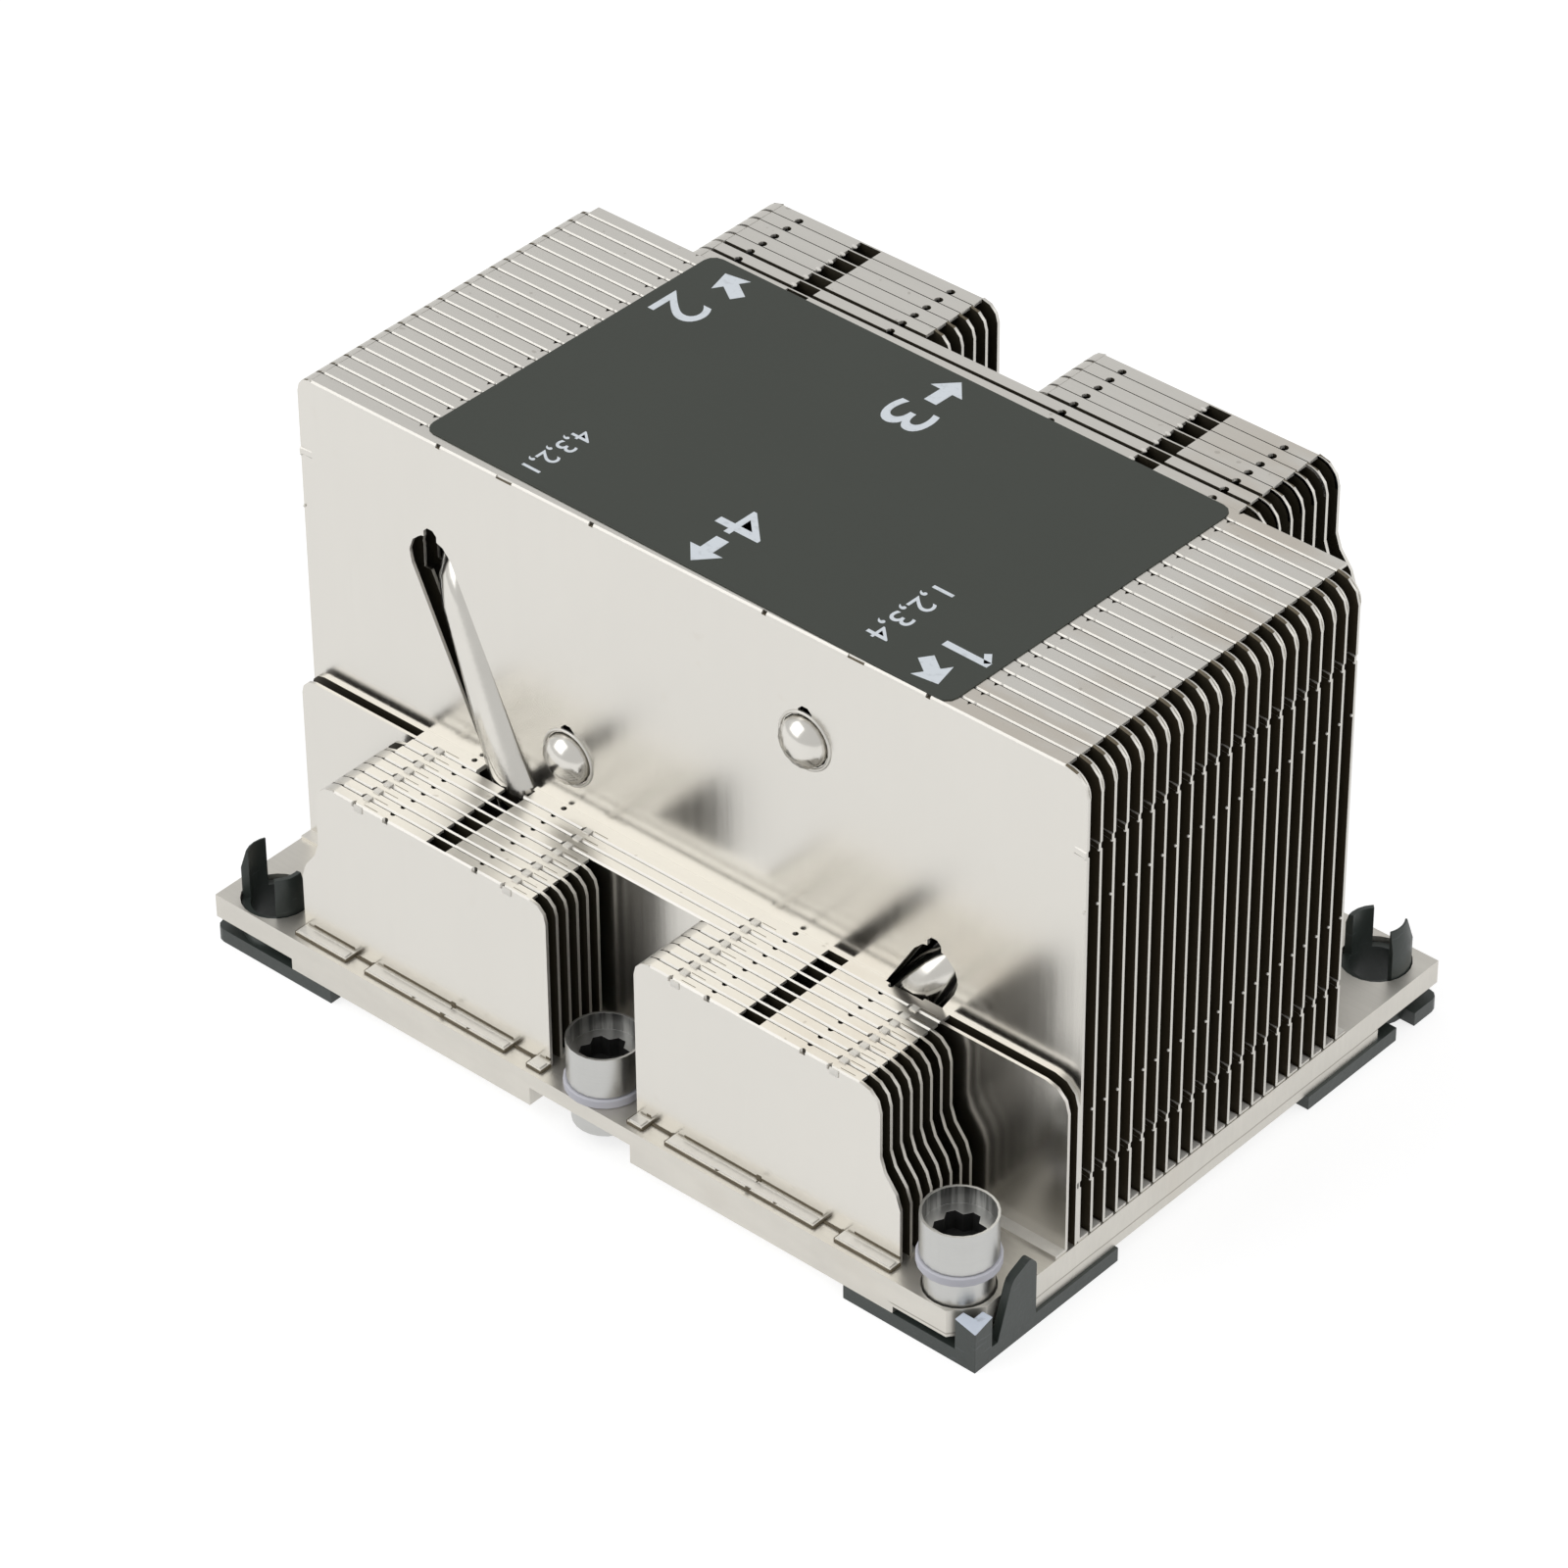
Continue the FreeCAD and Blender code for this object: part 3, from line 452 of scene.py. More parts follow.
def turned_steel(name, centre):
    """Bright steel with turning rings about the nut's own axis."""
    look, paint = started(name)
    across = paint.x - centre.x
    along = paint.y - centre.y
    radius = (across * across + along * along) ** 0.5
    rings = paint.noise(
        paint.add("ShaderNodeCombineXYZ", {}, {0: radius * 9000.0, 1: paint.z * 9000.0, 2: 0.0}), detail=2
    )
    cloud = paint.noise(paint.stretched(260, 260, 260), detail=3)
    colour = paint.mixed(rings * 0.6 + cloud * 0.4, times(look.steel, 0.84), look.steel)
    return paint.finish(colour, 0.25 + 0.16 * rings, 1.0, rings, 0.00001)


def socket_shade(name):
    """Painted shade deep in the nut's socket: the steel made nearly black."""
    look, paint = started(name)
    cloud = paint.noise(paint.stretched(500, 500, 500), detail=2)
    colour = paint.mixed(cloud, times(look.steel, 0.06), times(look.steel, 0.16))
    return paint.finish(colour, 0.45 + 0.1 * cloud, 0.6)


def shaded_recess_wall(name):
    """Wall of the nut's recess, with painted shade making it darker than the steel, and upright streaks."""
    look, paint = started(name)
    streaks = paint.noise(paint.stretched(1400, 1400, 60), detail=3)
    streaks = paint.ramp(streaks, 0.38, 0.62)
    colour = paint.mixed(streaks, times(look.steel, 0.28), times(look.steel, 0.8))
    return paint.finish(colour, 0.35 + 0.1 * streaks, 0.9)


def ring_plastic(name):
    """Pale grey ring with a moulded skin."""
    look, paint = started(name)
    grain = paint.noise(paint.stretched(900, 900, 900), detail=3)
    colour = paint.mixed(grain, times(look.ring, 0.9), look.ring)
    return paint.finish(colour, 0.38 + 0.1 * grain, 0.0, grain, 0.00001)


def clip_plastic(name):
    """Moulded plastic with fine spark grain and a few faint scratches."""
    look, paint = started(name)
    grain = paint.noise(paint.stretched(1700, 1700, 1700), detail=3)
    cloud = paint.noise(paint.stretched(120, 120, 120), detail=3)
    colour = paint.mixed(cloud, times(look.plastic, 0.75), times(look.plastic, 1.25))
    scratch = paint.ramp(paint.noise(paint.stretched(300, 300, 2200), detail=4), 0.64, 0.72)
    colour = paint.mixed(scratch * 0.05, colour, look.worn)
    return paint.finish(colour, 0.34 + 0.12 * grain, 0.0, grain, 0.00002)


def worn_plastic(name):
    """Whitened plastic on a corner that rubs."""
    look, paint = started(name)
    rub = paint.ramp(paint.noise(paint.stretched(900, 900, 900), detail=3), 0.30, 0.42)
    colour = paint.mixed(rub, times(look.worn, 0.75), look.worn)
    return paint.finish(colour, 0.36 + 0.1 * rub, 0.0)


def printed_film(name):
    """Dark film with a faint grain."""
    look, paint = started(name)
    grain = paint.noise(paint.stretched(1500, 1500, 1500), detail=2)
    cloud = paint.noise(paint.stretched(60, 60, 60), detail=3)
    mixed = grain * 0.55 + cloud * 0.45
    colour = paint.mixed(mixed, times(look.film, 0.84), times(look.film, 1.16))
    return paint.finish(colour, 0.52 + 0.1 * grain, 0.0, grain, 0.000006)


def print_ink(name):
    """Cool white ink, a little thin in places."""
    look, paint = started(name)
    thin = paint.noise(paint.stretched(1300, 1300, 1300), detail=3)
    colour = paint.mixed(paint.ramp(thin, 0.3, 0.5), times(look.print_white, 0.86), look.print_white)
    return paint.finish(colour, 0.5 + 0.1 * thin, 0.0)


# ---- modelling helpers -------------------------------------------------------------------------


def only(piece):
    """Selects one piece and nothing else."""
    bpy.ops.object.select_all(action="DESELECT")
    piece.select_set(True)
    bpy.context.view_layer.objects.active = piece


def placed(piece):
    """Puts a piece's place, turn and size into its mesh."""
    only(piece)
    bpy.ops.object.transform_apply(location=True, rotation=True, scale=True)
    return piece


def copy_of(node, name):
    """New piece from a CAD node, its triangles merged into clean flat faces."""
    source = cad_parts[node]
    piece = bpy.data.objects.new(name, source.data.copy())
    bpy.context.scene.collection.objects.link(piece)
    piece.data.materials.clear()
    only(piece)
    if piece.data.has_custom_normals:
        bpy.ops.mesh.customdata_custom_splitnormals_clear()
    bpy.ops.object.mode_set(mode="EDIT")
    bpy.ops.mesh.select_all(action="SELECT")
    bpy.ops.mesh.remove_doubles(threshold=1e-6)
    bpy.ops.mesh.dissolve_limited(angle_limit=math.radians(0.6))
    bpy.ops.mesh.normals_make_consistent(inside=False)
    bpy.ops.object.mode_set(mode="OBJECT")
    return piece


def joined(pieces, name):
    """One piece out of several."""
    bpy.ops.object.select_all(action="DESELECT")
    for piece in pieces:
        piece.select_set(True)
    bpy.context.view_layer.objects.active = pieces[0]
    if len(pieces) > 1:
        bpy.ops.object.join()
    whole = bpy.context.view_layer.objects.active
    whole.name = name
    whole.data.name = name
    return whole


def box_piece(low, high):
    """Box between two corners, as a start for a small form or a cutter."""
    bpy.ops.object.select_all(action="DESELECT")
    centre = [(a + b) / 2 for a, b in zip(low, high)]
    bpy.ops.mesh.primitive_cube_add(size=1, location=centre, scale=[b - a for a, b in zip(low, high)])
    return placed(bpy.context.view_layer.objects.active)


def rod_piece(centre, radius, depth, sides, turn=(0, 0, 0)):
    """Upright rod about a centre, as a start for a small form or a cutter."""
    bpy.ops.object.select_all(action="DESELECT")
    bpy.ops.mesh.primitive_cylinder_add(
        vertices=sides, radius=radius, depth=depth, location=centre, rotation=turn
    )
    return placed(bpy.context.view_layer.objects.active)


def moved_copy(piece, step):
    """Copy of a piece with its own mesh, moved by a step."""
    twin = piece.copy()
    twin.data = piece.data.copy()
    bpy.context.scene.collection.objects.link(twin)
    twin.data.transform(Matrix.Translation(step))
    return twin


def extent(piece):
    """Lowest and highest corner of a piece's mesh."""
    points = [point.co for point in piece.data.vertices]
    if not points:
        raise RuntimeError(piece.name + " has no mesh left")
    low = Vector([min(point[axis] for point in points) for axis in range(3)])
    high = Vector([max(point[axis] for point in points) for axis in range(3)])
    return low, high


def cut(piece, cutter):
    """Takes a cutter out of a piece and clears the cutter away; the piece keeps its extent."""
    low, high = extent(piece)
    only(piece)
    tool = piece.modifiers.new("cut", "BOOLEAN")
    tool.operation = "DIFFERENCE"
    tool.solver = "EXACT"
    tool.object = cutter
    bpy.ops.object.modifier_apply(modifier=tool.name)
    bpy.data.objects.remove(cutter)
    new_low, new_high = extent(piece)
    if (new_low - low).length > 0.0005 or (new_high - high).length > 0.0005:
        raise RuntimeError("the cut damaged " + piece.name)


def soften(piece, width, segments=2, angle=40.0, smooth=35.0):
    """Rounds the sharp edges and shades the round faces smooth."""
    only(piece)
    tool = piece.modifiers.new("round", "BEVEL")
    tool.width = width
    tool.segments = segments
    tool.limit_method = "ANGLE"
    tool.angle_limit = math.radians(angle)
    tool.harden_normals = False
    bpy.ops.object.modifier_apply(modifier=tool.name)
    bpy.ops.object.shade_smooth_by_angle(angle=math.radians(smooth))
    even = piece.modifiers.new("even", "WEIGHTED_NORMAL")
    even.mode = "FACE_AREA"
    even.weight = 100
    even.keep_sharp = True
    bpy.ops.object.modifier_apply(modifier=even.name)


def paint_faces(piece, materials, choose):
    """Gives the piece its materials, each face the one that choose(centre, normal) numbers."""
    piece.data.materials.clear()
    for material in materials:
        piece.data.materials.append(material)
    for face in piece.data.polygons:
        face.material_index = choose(face.center, face.normal)


def ride(piece, body):
    """The piece moves with a CAD body."""
    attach(piece, body)


def sliced(piece, place, across):
    """Adds a ring of edges in the plane through a place, square to a direction."""
    mesh = bmesh.new()
    mesh.from_mesh(piece.data)
    everything = mesh.verts[:] + mesh.edges[:] + mesh.faces[:]
    bmesh.ops.bisect_plane(mesh, geom=everything, dist=1e-7, plane_co=place, plane_no=across)
    mesh.to_mesh(piece.data)
    mesh.free()


def jogged(piece, low, high, depth, ends=(-1, 1)):
    """Presses a small step sideways into a fin's ends, between two heights."""
    slope = (high - low) * 0.14
    for height in (low, low + slope, high - slope, high):
        sliced(piece, (0, 0, height), (0, 0, 1))
    reach = 0.0016
    for end in ends:
        sliced(piece, (end * (FIN_END - reach), 0, 0), (1, 0, 0))
    tiny = 1e-6
    for point in piece.data.vertices:
        place = point.co
        for end in ends:
            outside = end * place.x > FIN_END - reach + tiny
            if outside and low + slope - tiny < place.z < high - slope + tiny:
                place.y -= depth


def bead_piece(size):
    """Round bead about the origin, as a start for painted highlight dots and ears."""
    bpy.ops.object.select_all(action="DESELECT")
    bpy.ops.mesh.primitive_ico_sphere_add(subdivisions=2, radius=1, scale=size)
    bead = bpy.context.view_layer.objects.active
    placed(bead)
    bpy.ops.object.shade_smooth()
    return bead


def small_parts(pieces, name, finish):
    """Joins small forms of one finish into a piece that stays with the fins."""
    whole = joined(pieces, name)
    paint_faces(whole, [finish], lambda centre, normal: 0)
    ride(whole, "heatsink")
    return whole


def lip_piece(radius, width, thickness, start=94, end=-4, tapered=True):
    """Curved strip about the centre of a rounded corner, between two angles in degrees."""
    mesh = bmesh.new()
    rows = []
    steps = 12
    for step in range(steps + 1):
        angle = math.radians(start + (end - start) * step / steps)
        reach = width * math.sin(math.pi * step / steps) ** 0.7 + 1e-5 if tapered else width
        across, up = math.cos(angle), math.sin(angle)
        rows.append([
            mesh.verts.new((radius * across, 0, radius * up)),
            mesh.verts.new(((radius - thickness) * across, 0, (radius - thickness) * up)),
            mesh.verts.new(((radius - thickness) * across, reach, (radius - thickness) * up)),
            mesh.verts.new((radius * across, reach, radius * up)),
        ])
    for first, second in zip(rows, rows[1:]):
        for k in range(4):
            mesh.faces.new((first[k], second[k], second[(k + 1) % 4], first[(k + 1) % 4]))
    mesh.faces.new(rows[0])
    mesh.faces.new(rows[-1][::-1])
    bmesh.ops.recalc_face_normals(mesh, faces=mesh.faces[:])
    data = bpy.data.meshes.new("lip")
    mesh.to_mesh(data)
    mesh.free()
    lip = bpy.data.objects.new("lip", data)
    bpy.context.scene.collection.objects.link(lip)
    return lip


def cap_piece(radius, width):
    """Full-width strip that carries a flange on round the corner at its -X end."""
    return lip_piece(radius, width, 0.0003, 91, 148, False)


def metals():
    """The plated finishes in their order on every fin; among them are the painted shade between the fins,
    the painted highlight and the painted shade of seams and folds.
    """
    makers = (plated_front, plated_top, plated_edge, painted_gap_shade, painted_highlight, shaded_seam)
    return [finish_of(make) for make in makers]


FRONT, TOP, EDGE, GAP_SHADE, HIGHLIGHT, SEAM_SHADE = range(6)


def grown(piece, y, top, step):
    """Moves the free edge of a fin's top flange on along Y."""
    for point in piece.data.vertices:
        if abs(point.co.y - y) < 1e-5 and point.co.z > top - 0.001:
            point.co.y += step


def fin_paint(front_seen, back_seen, y_front, y_back):
    """Chooses a fin face's finish; only the named sides are open to view. Hidden web faces and undersides
    get the painted shade between the fins, notch floors, flange free edges and foot ends get painted seam
    shade, and foot tops get the painted highlight.
    """

    def choose(centre, normal):
        if normal.z > 0.8:
            # Painted shade on upward faces just below the top, in the notches.
            if CORE_TOP - 0.0006 < centre.z < CORE_TOP - 0.00012:
                return SEAM_SHADE
            # Painted highlight on the tops of the feet and the turned-out strips.
            return HIGHLIGHT if centre.z < BASE_TOP + 0.0008 else TOP
        if normal.z > 0.2 and normal.y > 0.2:
            return TOP
        # Painted shade on the free edges of the flanges, in the gaps between them.
        if normal.y > 0.8 and centre.z > CORE_TOP - 0.0004:
            return SEAM_SHADE
        # Painted shade on the ends of the feet, at the base.
        if abs(normal.x) > 0.8 and centre.z < BASE_TOP + 0.0005:
            return SEAM_SHADE
        if abs(normal.y) > 0.8:
            # Web faces hidden between the fins take the painted shade.
            seen = normal.y < 0 and front_seen and centre.y < y_front + 0.0003
            seen = seen or (normal.y > 0 and back_seen and centre.y > y_back - 0.0003)
            return FRONT if seen else GAP_SHADE
        # Undersides take the painted shade too.
        if normal.z < -0.8:
            return GAP_SHADE
        return EDGE

    return choose


# ---- pieces ------------------------------------------------------------------------------------


class HEATSINK_OT_core_fins(bpy.types.Operator):
    """Full-height core fins with their interlocks and pressed steps"""

    bl_idname = "heatsink.core_fins"
    bl_label = "Core fins"

    def execute(self, context):
        form = context.scene.heatsink_sheet
        upper = CORE_TOP - form.jog_below_top - form.jog_height
        lower = BASE_TOP + form.jog_above_base
        for number, node in enumerate(CORE_FINS):
            low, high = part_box(node)
            fin = copy_of(node, "plated_" + node)
            grown(fin, high.y, CORE_TOP, form.flange_growth)
            cutters = []
            for side in (-1, 1):
                centre = (side * form.lock_x, high.y, CORE_TOP)
                cutters.append(rod_piece(centre, form.lock_size, 0.0012, 3, (0, 0, math.pi)))
            if number == 0:
                cutters += self.bend_marks(form, low.y)
            cut(fin, joined(cutters, "locks"))
            for start in (upper, lower):
                jogged(fin, start, start + form.jog_height, form.jog_depth)
            soften(fin, form.edge_round)
            first, last = number == 0, number == len(CORE_FINS) - 1
            paint_faces(fin, metals(), fin_paint(first, last, low.y, low.y + SHEET))
            ride(fin, "heatsink")
            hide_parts(node)
        self.beads(form, upper, lower)
        self.lips(form)
        return {"FINISHED"}

    def bend_marks(self, form, y):
        """Cutters of the small gaps in the foremost fin's bend."""
        marks = []
        for side in (-1, 1):
            for x in (form.tab_inner_x, form.tab_outer_x):
                marks.append(box_piece(
                    (side * x - 0.0003, y - 0.0002, CORE_TOP - 0.0004),
                    (side * x + 0.0003, y + 0.0003, CORE_TOP + 0.0002),
                ))
            marks.append(box_piece(
                (side * form.window_x - 0.0011, y - 0.0002, CORE_TOP - 0.00035),
                (side * form.window_x + 0.0011, y + 0.00025, CORE_TOP + 0.0002),
            ))
        return marks

    def beads(self, form, upper, lower):
        """Painted highlight dots, small beads in the bright finish, at the interlocks and at the pressed
        steps.
        """
        bead = bead_piece((0.00017, 0.00018, 0.00017))
        beads = []
        for number in range(len(CORE_FINS)):
            y = FRONT_FIN_LOW.y + number * CORE_PITCH
            for side in (-1, 1):
                if number:
                    beads.append(moved_copy(
                        bead, (side * form.lock_x + 0.0004, y + 0.00012, CORE_TOP - 0.00014)
                    ))
                for z in (upper, lower, *(BASE_TOP + up for up in EXTRA_HIGHLIGHT_BEADS)):
                    beads.append(moved_copy(bead, (side * (FIN_END - 0.00012), y - form.jog_depth * 0.3, z)))
        bpy.data.objects.remove(bead)
        small_parts(beads, "interlock_highlights", finish_of(painted_highlight))

    def lips(self, form):
        """Bright lips on the rounded corners at the +X ends."""
        lip = lip_piece(form.corner_radius, form.lip_width, 0.0004)
        cap = cap_piece(form.left_radius, CORE_PITCH - form.cap_gap)
        lips = []
        for number in range(len(CORE_FINS)):
            y = FRONT_FIN_LOW.y + number * CORE_PITCH + 0.00038
            lips.append(moved_copy(lip, (FIN_END - form.corner_radius, y, CORE_TOP - form.corner_radius)))
            if number < len(CORE_FINS) - 1:
                low = (FRONT_FIN_LOW.x + form.left_radius, y - 0.0002, CORE_TOP - form.left_radius)
                lips.append(moved_copy(cap, low))
        for start in (lip, cap):
            bpy.data.objects.remove(start)
        small_parts(lips, "core_lips", finish_of(plated_edge))


class HEATSINK_OT_shelf_fins(bpy.types.Operator):
    """Low front fins with their tabs, notches and turned-out strips"""

    bl_idname = "heatsink.shelf_fins"
    bl_label = "Shelf fins"

    def execute(self, context):
        form = context.scene.heatsink_sheet
        # seams collects painted shade lines; ridges and tabs take the painted highlight finish.
        tabs, seams, ears, ridges = [], [], [], []
        tab = box_piece((-0.00045, -0.0004, -0.0002), (0.00045, 0.0004, 0.00018))
        front_tab = box_piece((-0.0006, -0.00012, -0.00095), (0.0006, 0.0001, -0.00012))
        outer = cap_piece(form.block_radius, SHELF_PITCH - form.cap_gap)
        inner = cap_piece(form.bay_radius, SHELF_PITCH - form.cap_gap)
        for node in SHELF_FINS:
            low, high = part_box(node)
            fin = copy_of(node, "plated_" + node)
            y = self.fold(node, low)
            grown(fin, y + SHELF_PITCH - 0.0003, SHELF_TOP, form.flange_growth)
            cutters = []
            foremost = node.endswith("_1")
            for x in self.mirrored(form.tab_inner_x, form.tab_outer_x):
                if low.x < x < high.x:
                    cutters.append(self.notch(form, x, y))
                    tabs.append(moved_copy(front_tab if foremost else tab, (x + 0.0002, y, SHELF_TOP)))
                    # Painted shade line behind each tab.
                    seams.append(box_piece(
                        (x + 0.0007, y + 0.00045, SHELF_TOP - 0.0001),
                        (x + 0.0026, y + 0.00052, SHELF_TOP + 0.00001),
                    ))
            for x in self.mirrored(form.shelf_window_x):
                if low.x < x < high.x and "long" not in node:
                    half = form.shelf_window_length / 2
                    cutters.append(box_piece(
                        (x - half, y + 0.00018, SHELF_TOP - 0.0008),
                        (x + half, y + SHELF_PITCH - 0.00005, SHELF_TOP + 0.0002),
                    ))
            for x in self.mirrored(form.nick_inner_x, form.nick_outer_x):
                if low.x < x < high.x:
                    cutters.append(rod_piece((x, y + SHELF_PITCH - 0.00022, SHELF_TOP), 0.00034, 0.0012, 10))
                    if foremost:
                        cutters.append(rod_piece((x, y, SHELF_TOP), 0.0004, 0.0011, 10))
            if cutters:
                cut(fin, joined(cutters, "notches"))
            soften(fin, form.edge_round)
            seen = foremost or "bridge_fin_7" in node or "long" in node
            paint_faces(fin, metals(), fin_paint(seen, False, y, high.y))
            ride(fin, "heatsink")
            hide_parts(node)
            if "fin_left" in node or "fin_right" in node:
                start = min(p.co.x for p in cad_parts[node].data.vertices if p.co.z > SHELF_TOP - 0.0001)
                cap, radius = (inner, form.bay_radius) if "right" in node else (outer, form.block_radius)
                ears.append(moved_copy(cap, (start + 0.00005, y + 0.0002, SHELF_TOP - radius)))
            if foremost:
                strip_shade_lines, strip_ridges = self.strip_lines(form, node, y)
                seams += strip_shade_lines
                ridges += strip_ridges
        for start in (tab, front_tab, outer, inner):
            bpy.data.objects.remove(start)
        # The tabs take the painted highlight finish.
        tabs = small_parts(tabs, "shelf_tabs", finish_of(painted_highlight))
        soften(tabs, 0.00005)
        # Painted shade lines behind the tabs and round the turned-out strips.
        small_parts(seams, "shelf_shade_lines", finish_of(shaded_seam))
        small_parts(ears, "shelf_caps", finish_of(plated_edge))
        # Ridges of the strips in the painted highlight finish.
        ridges = small_parts(ridges, "shelf_highlight_ridges", finish_of(painted_highlight))
        soften(ridges, 0.00008)
        return {"FINISHED"}

    def mirrored(self, *places):
        """Each place on both sides of the middle."""
        return [side * place for side in (-1, 1) for place in places]

    def fold(self, node, low):
        """Front face of the first folded fin in a node."""
        if "long" in node:
            return FRONT_FIN_LOW.y - SHELF_PITCH - 0.0004
        return SHELF_FRONT if node.endswith("_1") else low.y

    def notch(self, form, x, y):
        """Cutter of the dark notch beside a tab."""
        return rod_piece((x - form.tab_width * 0.55, y + 0.0001, SHELF_TOP), 0.00048, 0.0012, 3)

    def strip_lines(self, form, node, y):
        """Painted shade lines round the turned-out strips at the foremost fin's foot, and the strips' ridges
        in the painted highlight finish.
        """
        points = [p.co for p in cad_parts[node].data.vertices]
        out = min(p.y for p in points)
        ends = sorted({round(p.x, 5) for p in points if p.y < out + 0.0002})
        spans = list(zip(ends[::2], ends[1::2]))
        wide = form.shade_line_width
        top = BASE_TOP + 0.0004
        seams, ridges = [], []
        for x0, x1 in spans:
            ridges.append(box_piece(
                (x0 + 0.0002, out + 0.00015, top - 0.0001), (x1 - 0.0002, y - 0.0003, top + 0.00018)
            ))
            for low, high in (
                ((x0, out - wide, BASE_TOP - 0.00001), (x1, out + 0.00005, BASE_TOP + 0.00016)),
                ((x0 + 0.0014, y - 0.00002, top + 0.0004), (x1, y + 0.0001, top + 0.00072)),
            ):
                seams.append(box_piece(low, high))
            for x in (x0 - wide, x1):
                seams.append(box_piece((x, out, BASE_TOP - 0.00001), (x + wide, y, top - 0.00005)))
            if x1 - x0 > 0.012:
                middle = (x0 + x1) / 2 + 0.0012
                for x, along in ((middle, 0.0004), (middle - 0.0043, 0.00025), (middle + 0.0037, 0.00025)):
                    seams.append(rod_piece((x, out + 0.0002, top), along, 0.00004, 10))
                for low, high in (
                    ((middle, out, top - 0.0001), (middle + 0.00012, y, top + 0.00003)),
                    ((middle, y - 0.00006, top + 0.0002), (middle + 0.0006, y + 0.0001, top + 0.0009)),
                ):
                    seams.append(box_piece(low, high))
        for (a0, a1), (b0, b1) in zip(spans, spans[1:]):
            seams.append(box_piece(
                (a1, y - 0.00016, BASE_TOP - 0.00001), (b0, y + 0.0001, BASE_TOP + 0.0002)
            ))
            seams.append(rod_piece((b0 - 0.0003, y - 0.0001, BASE_TOP), 0.0003, 0.0003, 10))
        return seams, ridges


class HEATSINK_OT_rear_fins(bpy.types.Operator):
    """Full-height rear fins with their notches"""

    bl_idname = "heatsink.rear_fins"
    bl_label = "Rear fins"

    def execute(self, context):
        form = context.scene.heatsink_sheet
        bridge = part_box("rear_bridge_fin_1")[1].y
        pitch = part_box("rear_bridge_fin_2")[1].y - bridge
        ears, lips = [], []
        ear = bead_piece((0.00045, 0.0003, 0.00022))
        lip = lip_piece(form.block_radius, form.lip_width, 0.0004)
        outer = cap_piece(form.block_radius, pitch - form.cap_gap)
        inner = cap_piece(form.bay_radius, pitch - form.cap_gap)
        for node in REAR_FINS:
            low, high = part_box(node)
            fin = copy_of(node, "plated_" + node)
            cutters, grooves = [], []
            count = round((high.y - bridge) / pitch)
            first = max(0, round((low.y + 0.0017 - bridge) / pitch))
            for y in [bridge + step * pitch for step in range(first, count + 1)]:
                if "fins_" in node and y < high.y - pitch / 2:
                    grooves.append(box_piece(
                        (low.x - 0.001, y - form.groove / 2, CORE_TOP - 0.00025),
                        (high.x + 0.001, y + form.groove / 2, CORE_TOP + 0.0005),
                    ))
                if not -0.03 < low.x < 0:
                    cap, radius = (inner, form.bay_radius) if low.x > 0 else (outer, form.block_radius)
                    start = low.x + radius + (0 if low.x > 0 else self.foot(node, low, -1))
                    lips.append(moved_copy(cap, (start, y - pitch + form.cap_gap / 2, CORE_TOP - radius)))
                for side in (-1, 1):
                    for x in (side * form.tab_inner_x, side * form.tab_outer_x):
                        if low.x < x < high.x:
                            cutters.append(rod_piece((x, y - 0.00155, CORE_TOP), 0.0005, 0.0012, 12))
                    x = side * form.rear_window_x - 0.0016
                    if low.x < x < high.x:
                        ears.append(moved_copy(ear, (x, y - 0.0013, CORE_TOP - 0.00016)))
                if high.x > 0.03:
                    start = high.x - form.block_radius - self.foot(node, high, 1)
                    lips.append(moved_copy(lip, (start, y - 0.0004, CORE_TOP - form.block_radius)))
            for tools in (cutters, grooves):
                if tools:
                    cut(fin, joined(tools, "notches"))
            soften(fin, form.edge_round)
            seen = "bridge_fin_2" in node or "fins_" in node
            paint_faces(fin, metals(), fin_paint(False, seen, low.y, high.y))
            ride(fin, "heatsink")
            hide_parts(node)
        for start in (ear, lip, outer, inner):
            bpy.data.objects.remove(start)
        # Small ear bumps in the painted highlight finish.
        small_parts(ears, "rear_highlight_ears", finish_of(painted_highlight))
        small_parts(lips, "rear_lips", finish_of(plated_edge))
        return {"FINISHED"}

    def foot(self, node, corner, side):
        """How far the fin's foot reaches beyond its upper part on one side."""
        points = [p.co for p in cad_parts[node].data.vertices]
        upper = [side * p.x for p in points if CORE_TOP - 0.008 < p.z < CORE_TOP - 0.002]
        return side * corner.x - max(upper)


class HEATSINK_OT_base(bpy.types.Operator):
    """Milled base plate with broken edges"""

    bl_idname = "heatsink.base"
    bl_label = "Base plate"

    def execute(self, context):
        form = context.scene.heatsink_parts
        base = copy_of("base_plate", "milled_base_plate")
        soften(base, form.base_round)
        paint_faces(base, [finish_of(milled_base)], lambda centre, normal: 0)
        ride(base, "heatsink")
        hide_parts("base_plate")
        return {"FINISHED"}


